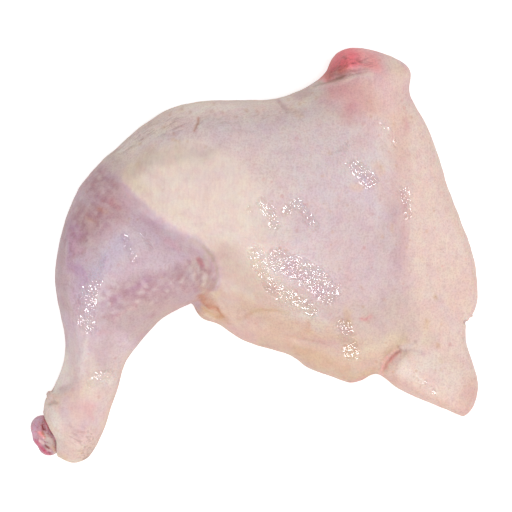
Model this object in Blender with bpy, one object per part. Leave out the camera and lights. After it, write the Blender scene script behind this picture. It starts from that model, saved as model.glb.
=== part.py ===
"""Raw chicken leg quarter, lying skin side up: drumstick, thigh and a strip of back in one skin.

Sizes are real millimetres, turned into Blender's metres by MM. X runs across the thigh towards the
back edge, Y from the hock towards the hip, Z up. The origin is under the middle of the box, on the
surface that the meat lies on.
"""

from typing import NamedTuple

import bmesh
import bpy
import numpy as np
from mathutils import Matrix, Vector

MM = 0.001

# Meshing
CURVE_STEPS = 8
RING_STEP = 1.6
RING_POINTS = 56
SLAB_HALF = 4.0
SLAB_VOXEL = 1.6
SKIN_VOXEL = 1.4
SMOOTH_ROUNDS = 8
BODY_TRIANGLES = 10000
KNUCKLE_VOXEL = 0.7
KNUCKLE_TRIANGLES = 1300

# How meat and skin round off at the rim
RIM_SHARE = 0.40
TOP_ROUND_SHARE = 0.52
UNDER_ROUND_SHARE = 0.95
SINK = 0.8
ROUNDNESS = 2.25

# Clearance between the knuckle and its socket
KNUCKLE_GAP = 0.3


class Section(NamedTuple):
    """A slice through the drumstick at right angles to Y: its sides, top and underside."""

    y: float
    left: float
    right: float
    top: float
    under: float


# From the knee down to the heel. The upper sections run on to the right, under the thigh's skin.
DRUMSTICK = (
    Section(38.0, -64.6, -58.0, 24.0, 12.0),
    Section(34.5, -68.0, -50.0, 29.5, 6.0),
    Section(28.0, -72.9, -45.0, 34.5, 1.5),
    Section(18.0, -77.0, -35.0, 38.5, -0.3),
    Section(8.6, -79.9, -23.0, 41.0, -0.5),
    Section(2.3, -81.1, -17.4, 42.5, -0.5),
    Section(-3.0, -81.9, -14.8, 43.0, -0.5),
    Section(-8.0, -82.3, -14.2, 42.6, -0.5),
    Section(-13.5, -82.1, -17.0, 41.0, -0.5),
    Section(-18.7, -81.5, -24.4, 38.4, -0.3),
    Section(-24.5, -80.4, -36.0, 35.6, 0.6),
    Section(-33.8, -78.7, -45.6, 31.6, 2.6),
    Section(-43.9, -79.2, -53.2, 28.4, 4.4),
    Section(-52.3, -82.8, -56.1, 26.8, 3.6),
    Section(-56.5, -84.9, -57.2, 26.6, 2.4),
    Section(-59.4, -87.6, -58.3, 26.6, 1.4),
    Section(-64.5, -88.2, -60.1, 26.4, 0.2),
    Section(-69.4, -87.6, -61.6, 26.0, -0.3),
    Section(-74.5, -83.9, -63.8, 25.4, -0.3),
    Section(-77.5, -82.6, -65.0, 24.8, -0.2),
    Section(-80.4, -83.4, -66.4, 23.4, 0.6),
    Section(-83.6, -82.7, -68.4, 20.6, 3.0),
    Section(-85.8, -80.0, -70.6, 17.4, 6.0),
    Section(-87.1, -77.4, -73.6, 14.0, 10.0),
)

# The thigh and back seen from above, as a smooth closed curve from the knee round by the hip.
THIGH_OUTLINE = (
    # Front of the thigh
    (-66.4, 36.4), (-56.1, 46.6), (-44.4, 56.4), (-35.1, 61.8), (-22.9, 64.6), (-6.1, 65.4), (8.6, 66.0),
    (19.1, 69.7), (27.2, 74.6),
    # Hip stump
    (30.4, 77.6), (31.8, 82.3), (36.4, 86.6), (43.1, 87.9), (51.9, 86.2), (61.2, 82.4), (66.3, 78.2),
    (66.0, 73.5), (65.4, 69.5),
    # Back edge
    (67.9, 64.1), (72.7, 56.3), (78.3, 42.4), (83.4, 27.0), (88.6, 14.4), (93.4, 1.7), (95.4, -12.4),
    (94.6, -23.5), (90.4, -28.6), (91.0, -37.6), (93.5, -45.5), (96.0, -54.4), (95.2, -61.6), (90.4, -69.8),
    # Lower edge of the skin
    (78.4, -64.5), (68.0, -60.2), (59.2, -55.8), (54.8, -51.8), (51.0, -49.7), (47.2, -52.8), (41.8, -54.8),
    (33.4, -52.2), (22.0, -47.8), (16.6, -43.5), (8.4, -40.6), (-2.0, -37.5), (-8.8, -34.1), (-15.9, -28.8),
    (-21.6, -27.4), (-25.6, -23.0), (-27.4, -17.6),
    # Hidden under the calf
    (-35.5, -10.0), (-48.0, 0.0), (-60.7, 12.8), (-68.4, 25.4),
)
# Places in the outline where the skin turns sharply.
CORNERS = {(90.4, -28.6), (90.4, -69.8), (51.0, -49.7), (30.4, 77.6)}

# How high the top of the thigh and back lies over named places, with the skin drawn evenly between.
CROWN = {
    "knee": ((-61.0, 27.0), 34.5),
    "knee_front": ((-46.0, 44.0), 36.0),
    "front_left": ((-24.0, 50.0), 38.0),
    "front_middle": ((2.0, 50.0), 37.5),
    "front_right": ((22.0, 55.0), 33.5),
    "hip_front": ((32.0, 68.0), 28.0),
    "hip": ((47.0, 68.0), 28.0),
    "hip_end": ((48.0, 84.0), 26.0),
    "hip_back": ((64.0, 72.0), 22.0),
    "back_top": ((66.0, 50.0), 19.0),
    "back_middle": ((80.0, 22.0), 12.5),
    "back_low": ((87.0, -10.0), 10.0),
    "back_notch": ((84.0, -30.0), 9.5),
    "lobe": ((84.0, -50.0), 10.0),
    "lobe_root": ((67.0, -46.0), 12.5),
    "calf_side_top": ((-50.0, 23.0), 36.8),
    "calf_side": ((-39.7, 14.0), 37.0),
    "calf_side_low": ((-25.0, 6.0), 34.0),
    "thigh_left": ((-22.0, 29.0), 40.0),
    "thigh_middle": ((8.0, 26.0), 41.0),
    "thigh_right": ((36.0, 30.0), 35.5),
    "muscle_edge_top": ((56.0, 28.0), 26.5),
    "muscle_edge": ((62.0, 0.0), 21.5),
    "muscle_edge_low": ((60.0, -24.0), 17.0),
    "belly_left": ((-4.0, 4.0), 37.0),
    "belly_right": ((30.0, 0.0), 33.5),
    "crook": ((-15.5, -6.0), 28.0),
    "crook_low": ((-20.0, -20.0), 16.0),
    "flap_fold": ((2.0, -22.0), 22.5),
    "flap_fold_right": ((26.0, -26.0), 22.0),
    "flap_left": ((-4.0, -33.0), 11.5),
    "flap": ((20.0, -38.0), 12.0),
    "flap_tip": ((40.0, -46.0), 9.5),
}


class Fold(NamedTuple):
    """A crease (positive depth) or a roll (negative depth) along a line on the upper side."""

    line: tuple[tuple[float, float], ...]
    depth: float
    width: float


FOLDS = {
    "calf_crease": Fold(((-52.0, 25.0), (-39.7, 14.0), (-27.0, 7.0), (-17.5, 1.0), (-14.0, -6.0)), 1.0, 3.4),
    "calf_crease_low": Fold(((-14.0, -6.0), (-16.0, -14.0), (-23.0, -20.0)), 1.2, 2.8),
    "skin_fold": Fold(((-21.0, -18.5), (-6.0, -22.6), (6.0, -22.8), (20.0, -24.2)), 0.9, 2.4),
    "flap_crease": Fold(((16.0, -33.8), (28.0, -37.0), (35.0, -38.0), (45.0, -40.5)), 0.9, 2.6),
    "lobe_crease": Fold(((54.0, -49.5), (55.5, -45.0), (59.5, -40.6), (66.0, -37.6)), 1.8, 2.0),
    "lobe_lip": Fold(((57.5, -51.5), (61.0, -46.0), (67.5, -41.8)), -1.2, 3.0),
    "hip_skin_edge": Fold(((27.0, 72.6), (33.0, 73.4), (40.0, 75.6), (47.0, 77.6)), 1.3, 1.9),
    "hip_flesh_dip": Fold(((38.0, 80.0), (50.0, 82.0)), 1.6, 3.6),
}


class Hollow(NamedTuple):
    """A round place where the underside stands clear of what the meat lies on."""

    centre: tuple[float, float]
    radius: float
    height: float


HOLLOWS = {
    "inside_the_knee": Hollow((-34.0, 24.0), 17.0, 5.0),
    "crook": Hollow((-20.0, -10.0), 11.0, 6.0),
    "hip_joint": Hollow((34.0, 46.0), 19.0, 6.0),
    "hip_end": Hollow((48.0, 82.0), 13.0, 6.0),
    "belly": Hollow((24.0, -18.0), 18.0, 4.0),
    "back_edge": Hollow((86.0, 20.0), 18.0, 2.5),
    "back_corner": Hollow((90.0, -24.0), 10.0, 1.6),
}
UNDER_SEAM = Fold(((-30.0, 40.0), (-2.0, 18.0), (28.0, 6.0), (62.0, 4.0)), 2.6, 4.0)

# The shin bone's end in the cut hock: ellipsoids as centre and half-sizes, and a neck into the meat.
CONDYLES = (
    ((-88.8, -71.6, 13.2), (5.0, 5.0, 7.6)),
    ((-87.9, -75.4, 12.8), (5.2, 5.0, 7.4)),
    ((-85.9, -79.3, 12.2), (4.8, 4.5, 7.2)),
)
NECK_START = (-85.0, -75.8, 12.6)
NECK_END = (-74.0, -71.0, 12.8)
NECK_RADII = (5.6, 4.4)


def clear_scene():
    """Remove every object that the file starts with."""
    for item in list(bpy.data.objects):
        bpy.data.objects.remove(item)


def plain_material(name, colour, roughness):
    """Return a Principled material in the given colour."""
    material = bpy.data.materials.new(name)
    material.use_nodes = True
    shader = material.node_tree.nodes["Principled BSDF"]
    shader.inputs["Base Color"].default_value = (*colour, 1.0)
    shader.inputs["Roughness"].default_value = roughness
    shader.inputs["Metallic"].default_value = 0.0
    return material


def linked(name, data):
    """Return a new object in the scene for this mesh or curve."""
    result = bpy.data.objects.new(name, data)
    bpy.context.collection.objects.link(result)
    return result


def from_bmesh(name, shape):
    """Return a new object that holds the bmesh."""
    mesh = bpy.data.meshes.new(name)
    shape.to_mesh(mesh)
    shape.free()
    return linked(name, mesh)


def baked(source, name):
    """Return a new object that holds the source's shape with its modifiers applied."""
    graph = bpy.context.evaluated_depsgraph_get()
    mesh = bpy.data.meshes.new_from_object(source.evaluated_get(graph))
    bpy.data.objects.remove(source)
    return linked(name, mesh)


def remeshed(source, voxel, name):
    """Return the source as one even skin, with what overlaps grown together."""
    remesh = source.modifiers.new("even_skin", "REMESH")
    remesh.mode = "VOXEL"
    remesh.voxel_size = voxel * MM
    return baked(source, name)


def smoothed(source, rounds, name):
    """Return the source with its surface relaxed."""
    smooth = source.modifiers.new("relaxed", "SMOOTH")
    smooth.iterations = rounds
    smooth.factor = 0.5
    return baked(source, name)


def thinned(source, triangles, name):
    """Return the source with about this many triangles, kept where the form turns."""
    thin = source.modifiers.new("fewer_faces", "DECIMATE")
    thin.ratio = triangles / (2 * len(source.data.polygons))
    thin.use_collapse_triangulate = True
    return baked(source, name)


def places_of(solid):
    """Return the object's vertices in mm."""
    flat = np.empty(len(solid.data.vertices) * 3)
    solid.data.vertices.foreach_get("co", flat)
    return flat.reshape(-1, 3) / MM


def move_to(solid, places):
    """Put the object's vertices at these places in mm."""
    solid.data.vertices.foreach_set("co", (places * MM).astype(np.float32).ravel())
    solid.data.update()


def along_line(places, line):
    """Return each place's distance to a line of segments, and how far along it that is, 0 to 1."""
    line = np.asarray(line, float)
    lengths = np.linalg.norm(np.diff(line, axis=0), axis=1)
    walked = np.concatenate([[0.0], np.cumsum(lengths)])
    nearest = np.full(len(places), np.inf)
    share = np.zeros(len(places))
    for start, run, length, before in zip(line, np.diff(line, axis=0), lengths, walked):
        t = np.clip((places - start) @ run / length**2, 0, 1)
        distance = np.linalg.norm(places - start - t[:, None] * run, axis=1)
        closer = distance < nearest
        nearest[closer] = distance[closer]
        share[closer] = (before + t[closer] * length) / walked[-1]
    return nearest, share


def dome(share):
    """Return a quarter circle's height at this share of its radius in from the rim."""
    return np.sqrt(1 - (1 - np.clip(share, 0, 1)) ** 2)


def fold_depth(places, fold):
    """Return how far one fold sinks the surface at each place, fading out at its ends."""
    distance, share = along_line(places, fold.line)
    fade = np.clip(np.minimum(share, 1 - share) * 5, 0.2, 1)
    return fold.depth * fade * np.exp(-((distance / fold.width) ** 2))


def thin_plate(radius):
    """Return the thin plate spline's weight at each radius."""
    return radius**2 * np.log(np.maximum(radius, 1e-9))


def crown_height(places):
    """Return the height of the thigh's and back's top over each place, through the named crown places."""
    stations = np.array([place for place, height in CROWN.values()])
    heights = np.array([height for place, height in CROWN.values()])
    count = len(stations)
    apart = np.linalg.norm(stations[:, None] - stations[None], axis=2)
    plane = np.column_stack([np.ones(count), stations])
    system = np.block([[thin_plate(apart), plane], [plane.T, np.zeros((3, 3))]])
    weights = np.linalg.solve(system, np.concatenate([heights, np.zeros(3)]))
    away = np.linalg.norm(places[:, None] - stations[None], axis=2)
    return thin_plate(away) @ weights[:count] + weights[count] + places @ weights[count + 1 :]


def hollow_height(places):
    """Return how far the underside stands clear at each place."""
    total = fold_depth(places, UNDER_SEAM)
    for hollow in HOLLOWS.values():
        away = np.linalg.norm(places - np.array(hollow.centre), axis=1) / hollow.radius
        total += hollow.height * np.exp(-(away**2))
    return total


def thigh_curve():
    """Return the thigh's outline as a flat, filled and extruded Bezier curve."""
    curve = bpy.data.curves.new("thigh_outline", "CURVE")
    curve.dimensions = "2D"
    curve.fill_mode = "BOTH"
    curve.extrude = SLAB_HALF * MM
    curve.resolution_u = CURVE_STEPS
    spline = curve.splines.new("BEZIER")
    spline.bezier_points.add(len(THIGH_OUTLINE) - 1)
    spline.use_cyclic_u = True
    for point, place in zip(spline.bezier_points, THIGH_OUTLINE):
        point.co = Vector((*place, 0.0)) * MM
        handle = "VECTOR" if place in CORNERS else "AUTO"
        point.handle_left_type = handle
        point.handle_right_type = handle
    result = linked("thigh_outline", curve)
    bpy.context.view_layer.update()
    return result


def curve_ring(curve_object):
    """Return the curve's rim as a closed line of places in mm."""
    points = curve_object.data.splines[0].bezier_points
    ring = []
    for here, after in zip(points, [*points[1:], points[0]]):
        for t in np.arange(CURVE_STEPS) / CURVE_STEPS:
            ring.append(
                here.co * (1 - t) ** 3
                + here.handle_right * (3 * t * (1 - t) ** 2)
                + after.handle_left * (3 * t * t * (1 - t))
                + after.co * t**3
            )
    ring.append(ring[0])
    return np.array([(place.x, place.y) for place in ring]) / MM


def thigh_and_back():
    """Return the thigh and back: the outline swelled into meat with round rims and a sagging underside."""
    curve = thigh_curve()
    ring = curve_ring(curve)
    slab = remeshed(baked(curve, "slab"), SLAB_VOXEL, "slab")
    places = places_of(slab)
    plan = places[:, :2]
    from_rim, _ = along_line(plan, ring)
    top = crown_height(plan)
    rim = top * RIM_SHARE
    upper = rim + (top - rim) * dome(from_rim / (top * TOP_ROUND_SHARE))
    lower = rim - (rim + SINK) * dome(from_rim / (rim * UNDER_ROUND_SHARE)) + hollow_height(plan)
    share = np.clip((places[:, 2] + SLAB_HALF) / (2 * SLAB_HALF), 0, 1)
    places[:, 2] = lower + (upper - lower) * share
    move_to(slab, places)
    return slab


def section_at(y):
    """Return the drumstick's section at this y, on a smooth curve through the named ones."""
    stations = [section.y for section in DRUMSTICK]
    above = max(index for index, station in enumerate(stations) if station >= y)
    above = min(above, len(DRUMSTICK) - 2)
    last = len(DRUMSTICK) - 1
    before, here, after, beyond = (
        np.array(DRUMSTICK[min(max(index, 0), last)]) for index in range(above - 1, above + 3)
    )
    t = (here[0] - y) / (here[0] - after[0])
    span = here[0] - after[0]
    slope_here = (after - before) / (before[0] - after[0]) * span
    slope_after = (beyond - here) / (here[0] - beyond[0]) * span
    smooth = (
        here * (2 * t**3 - 3 * t**2 + 1)
        + slope_here * (t**3 - 2 * t**2 + t)
        + after * (3 * t**2 - 2 * t**3)
        + slope_after * (t**3 - t**2)
    )
    return Section(y, *smooth[1:])


def drumstick():
    """Return the drumstick, lofted through round sections from the knee to the heel."""
    first, last = DRUMSTICK[0].y, DRUMSTICK[-1].y
    shape = bmesh.new()
    rings = []
    for y in np.linspace(first, last, round((first - last) / RING_STEP)):
        section = section_at(float(y))
        middle = (section.left + section.right) / 2
        half_width = (section.right - section.left) / 2
        height = (section.top + section.under) / 2
        half_height = (section.top - section.under) / 2
        ring = []
        for angle in np.arange(RING_POINTS) * 2 * np.pi / RING_POINTS:
            across = np.sign(np.cos(angle)) * abs(np.cos(angle)) ** (2 / ROUNDNESS)
            up = np.sign(np.sin(angle)) * abs(np.sin(angle)) ** (2 / ROUNDNESS)
            place = Vector((middle + half_width * across, y, height + half_height * up))
            ring.append(shape.verts.new(place * MM))
        rings.append(ring)
    for ring, following in zip(rings, rings[1:]):
        for index in range(RING_POINTS):
            after = (index + 1) % RING_POINTS
            shape.faces.new((ring[index], ring[after], following[after], following[index]))
    shape.faces.new(rings[0][::-1])
    shape.faces.new(rings[-1])
    bmesh.ops.recalc_face_normals(shape, faces=shape.faces)
    return from_bmesh("drumstick", shape)


def joined(pieces, name):
    """Return one object that holds all the pieces' faces."""
    shape = bmesh.new()
    for piece in pieces:
        shape.from_mesh(piece.data)
        bpy.data.objects.remove(piece)
    return from_bmesh(name, shape)


def crease(body):
    """Sink the folds into the upper side, along the surface's own normals."""
    places = places_of(body)
    normals = np.empty(places.size)
    body.data.vertices.foreach_get("normal", normals)
    normals = normals.reshape(-1, 3)
    depth = sum(fold_depth(places[:, :2], fold) for fold in FOLDS.values())
    facing_up = np.clip(normals[:, 2], 0, 1)
    move_to(body, places - normals * (depth * facing_up)[:, None])


def press_flat(body):
    """Flatten what would reach through the surface that the meat lies on."""
    places = places_of(body)
    places[:, 2] = np.maximum(places[:, 2], 0.0)
    move_to(body, places)


def meat_in_skin():
    """Return the whole leg quarter, before the knuckle's socket is cut."""
    whole = joined([thigh_and_back(), drumstick()], "whole")
    skin = smoothed(remeshed(whole, SKIN_VOXEL, "skin"), SMOOTH_ROUNDS, "skin")
    crease(skin)
    body = thinned(smoothed(skin, 1, "skin"), BODY_TRIANGLES, "leg_quarter")
    press_flat(body)
    return body


def knuckle(name, grown):
    """Return the bone's end as one skin, with its surface moved out by this many mm."""
    shape = bmesh.new()
    for centre, radii in CONDYLES:
        place = Matrix.Translation(Vector(centre) * MM) @ Matrix.Diagonal((*(Vector(radii) * MM), 1.0))
        bmesh.ops.create_uvsphere(shape, u_segments=24, v_segments=14, radius=1.0, matrix=place)
    start, end = Vector(NECK_START), Vector(NECK_END)
    turn = (end - start).to_track_quat("Z", "Y").to_matrix().to_4x4()
    root_radius, tip_radius = NECK_RADII
    bmesh.ops.create_cone(
        shape,
        cap_ends=True,
        segments=24,
        depth=(end - start).length * MM,
        radius1=root_radius * MM,
        radius2=tip_radius * MM,
        matrix=Matrix.Translation((start + end) / 2 * MM) @ turn,
    )
    bone = smoothed(remeshed(from_bmesh(name, shape), KNUCKLE_VOXEL, name), 5, name)
    if grown:
        wider = bone.modifiers.new("clearance", "DISPLACE")
        wider.strength = grown * MM
        wider.mid_level = 0.0
        bone = baked(bone, name)
    return thinned(bone, KNUCKLE_TRIANGLES, name)


def cut_socket(body, cutter):
    """Return the body with the knuckle's socket cut out."""
    cut = body.modifiers.new("socket", "BOOLEAN")
    cut.operation = "DIFFERENCE"
    cut.solver = "EXACT"
    cut.object = cutter
    result = baked(body, body.name)
    bpy.data.objects.remove(cutter)
    return result


def stand_on_origin(solids):
    """Shift the solids so that the middle of their box is over the origin."""
    places = np.vstack([places_of(solid) for solid in solids])
    middle = (places.min(axis=0) + places.max(axis=0)) / 2
    middle[2] = places[:, 2].min()
    for solid in solids:
        move_to(solid, places_of(solid) - middle)


def finish(solid, name, material):
    """Give the solid its name, its material and smooth shading."""
    solid.name = name
    solid.data.materials.clear()
    solid.data.materials.append(material)
    solid.data.shade_smooth()


def main():
    """Build the leg quarter and its bare knuckle."""
    clear_scene()
    body = cut_socket(meat_in_skin(), knuckle("socket_cutter", KNUCKLE_GAP))
    bone = knuckle("hock_knuckle", 0.0)
    stand_on_origin((body, bone))
    finish(body, "leg_quarter", plain_material("raw_skin", (0.80, 0.62, 0.55), 0.35))
    finish(bone, "hock_knuckle", plain_material("raw_joint", (0.62, 0.22, 0.24), 0.25))


main()
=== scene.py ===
"""Looks of a raw chicken leg quarter that lies skin side up on a pale table.

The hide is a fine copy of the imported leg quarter, with its lumps, folds and lips as real relief. Its broad
colours are dabs laid on by name, and the finishes add mottling, goose bumps, pores and the wet film.
"""

import logging
import math
from dataclasses import dataclass
from enum import Enum

import bpy
import numpy as np
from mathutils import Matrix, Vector, kdtree, noise


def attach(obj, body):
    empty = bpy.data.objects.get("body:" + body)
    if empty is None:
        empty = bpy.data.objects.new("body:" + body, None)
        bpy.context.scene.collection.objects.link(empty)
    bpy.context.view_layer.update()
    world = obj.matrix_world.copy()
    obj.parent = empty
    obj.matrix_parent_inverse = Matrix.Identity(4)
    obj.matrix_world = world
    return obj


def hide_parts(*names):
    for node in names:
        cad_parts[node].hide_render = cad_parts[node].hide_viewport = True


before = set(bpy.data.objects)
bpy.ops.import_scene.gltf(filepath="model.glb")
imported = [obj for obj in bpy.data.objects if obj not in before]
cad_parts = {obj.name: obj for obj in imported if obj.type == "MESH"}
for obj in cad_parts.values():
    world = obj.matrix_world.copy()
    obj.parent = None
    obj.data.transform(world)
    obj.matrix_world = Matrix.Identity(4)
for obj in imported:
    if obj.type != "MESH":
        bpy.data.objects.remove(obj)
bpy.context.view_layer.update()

LOG = logging.getLogger("leg_quarter")
BODY = "root"
MM = 0.001

# One pixel of the photo's frame is this long on the plane that the camera is set for.
PIXEL = 0.42 * MM
PLANE_HEIGHT = 12 * MM
CAMERA_RISE = 600 * MM
AIM = (-0.21 * MM, -0.21 * MM)
FRAME_PIXELS = 512

# How the noise loses strength and gains detail from one octave to the next.
NOISE_FADE = 0.9
NOISE_STEP = 2.1
# A fold runs out over this share of its length at each end.
FOLD_RUNOUT = 0.25
# Where the upward part of its normal is under this, the surface stands upright.
UPRIGHT = 0.12
# Stands in for the rise of a level run, which can't be divided by.
NEARLY_LEVEL = 1e-9

Path = tuple[tuple[float, float], ...]


class Tone(Enum):
    """The colours of raw skin, flesh and fat, and of the painted shade in creases, as sRGB values."""

    CREAM = (234, 215, 204)
    MILK = (244, 232, 224)
    SHELL = (227, 205, 200)
    PEARL = (222, 203, 205)
    PEACH = (234, 204, 192)
    APRICOT = (228, 190, 164)
    FAT = (230, 210, 184)
    OCHRE = (214, 176, 132)
    OLIVE = (190, 170, 140)
    RUST = (196, 124, 92)
    SAND = (206, 186, 172)
    FAWN = (227, 207, 195)
    BEIGE = (222, 204, 190)
    ASH = (214, 196, 190)
    GREY_MAUVE = (223, 205, 204)
    MAUVE = (215, 191, 200)
    DUSTY = (198, 169, 174)
    PLUM = (206, 166, 190)
    VIOLET = (196, 148, 184)
    DUSKY = (200, 163, 165)
    WINE = (184, 138, 148)
    LILAC = (218, 200, 212)
    LAVENDER = (204, 189, 212)
    BLUSH = (216, 178, 178)
    PINK = (230, 188, 190)
    ROSE = (214, 146, 148)
    CORAL = (252, 164, 164)
    CRIMSON = (212, 88, 98)
    BLOOD = (150, 58, 66)
    BROWN = (150, 104, 88)
    # Painted shade, laid into the skin's creases.
    UMBER = (172, 124, 108)
    TAN = (206, 158, 126)
    SKIN = (234, 208, 197)
    BUFF = (215, 188, 173)
    ROSY_SAND = (208, 182, 174)
    THIGH_PINK = (212, 185, 189)
    SALMON = (225, 187, 174)
    BISCUIT = (215, 181, 158)
    FLESH = (250, 116, 130)
    GRISTLE = (204, 160, 170)
    ORCHID = (226, 168, 192)
    MAGENTA = (206, 92, 124)
    BONE = (216, 200, 190)
    MEAT = (206, 142, 138)


def linear(tone: Tone) -> np.ndarray:
    """Return the tone as linear light."""
    share = np.array(tone.value) / 255
    return np.where(share <= 0.04045, share / 12.92, ((share + 0.055) / 1.055) ** 2.4)


@dataclass(frozen=True)
class Patch:
    """A soft patch along a line or over an area, as seen from straight above.

    Places and sizes are pixels of the photo's frame.

    Attributes:
        path: The points of the line or area, or a single point.
        radius: How far the patch reaches from its path.
        strength: How strong it is at its heart, from 0 to 1.
        soft: The share of the radius over which it fades out.
        ragged: How far its edge wanders.
        closed: Whether the path is an area, which the patch fills.
    """

    path: Path
    radius: float
    strength: float = 1.0
    soft: float = 0.9
    ragged: float = 3.0
    closed: bool = False


class Dab:
    """A patch of one tone."""

    def __init__(self, tone: Tone, *shape: object) -> None:
        """Join a tone to its patch.

        Args:
            tone: The patch's colour.
            *shape: The patch's values, in the order of its attributes.
        """
        self.tone = tone
        self.patch = Patch(*shape)


@dataclass(frozen=True)
class Groove:
    """A crease (depth above 0) or a roll (below 0) of the upper side, in mm, along a path in pixels."""

    path: Path
    depth: float
    width: float


CALF_EDGE: Path = (
    (108, 171), (120, 181), (135, 199), (160, 221), (180, 234), (195, 240), (207, 249), (215, 261),
    (219, 271), (217, 282), (212, 288), (205, 293), (198, 298), (193, 303),
)
DRUMSTICK_AREA: Path = CALF_EDGE + (
    (171, 312), (157, 324), (146, 336), (130, 356), (122, 376), (84, 380), (52, 376), (48, 300),
    (48, 250), (58, 210), (78, 180), (96, 162),
)
LOW_CALF_AREA: Path = (
    (122, 290), (150, 280), (184, 274), (206, 286), (193, 303), (171, 312), (157, 324), (142, 336),
    (122, 326),
)
SHANK_AREA: Path = ((62, 370), (122, 366), (112, 396), (96, 440), (60, 440), (40, 400))
HEEL_AREA: Path = ((50, 398), (108, 398), (104, 430), (92, 458), (76, 466), (56, 458), (44, 430))
FRONT_AREA: Path = (
    (96, 162), (120, 142), (150, 118), (185, 102), (230, 100), (290, 98), (320, 84), (340, 88),
    (352, 118), (330, 136), (290, 138), (250, 138), (215, 136), (180, 140), (150, 150), (128, 164),
    (110, 172),
)
CREAM_AREA: Path = (
    (126, 178), (150, 158), (185, 152), (225, 160), (258, 200), (262, 240), (256, 290), (226, 296),
    (216, 262), (200, 240), (165, 220), (140, 200),
)
MUSCLE_AREA: Path = (
    (280, 156), (310, 150), (350, 144), (380, 156), (396, 190), (410, 232), (408, 280), (392, 320),
    (366, 338), (335, 330), (310, 300), (296, 270), (290, 230), (284, 190),
)
STRIP_AREA: Path = (
    (404, 90), (420, 120), (440, 170), (466, 220), (482, 262), (484, 310), (472, 324), (476, 360),
    (484, 395), (470, 420), (430, 400), (385, 385), (404, 352), (414, 330), (420, 290), (420, 235),
    (412, 190), (404, 150), (400, 120),
)
FLAP_AREA: Path = (
    (196, 304), (214, 296), (250, 312), (290, 324), (330, 340), (370, 346), (400, 348), (388, 382),
    (360, 390), (330, 384), (296, 372), (250, 354), (214, 326),
)
HIP_AREA: Path = ((326, 84), (330, 60), (350, 46), (385, 52), (412, 68), (410, 98), (380, 110), (345, 104))

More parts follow.
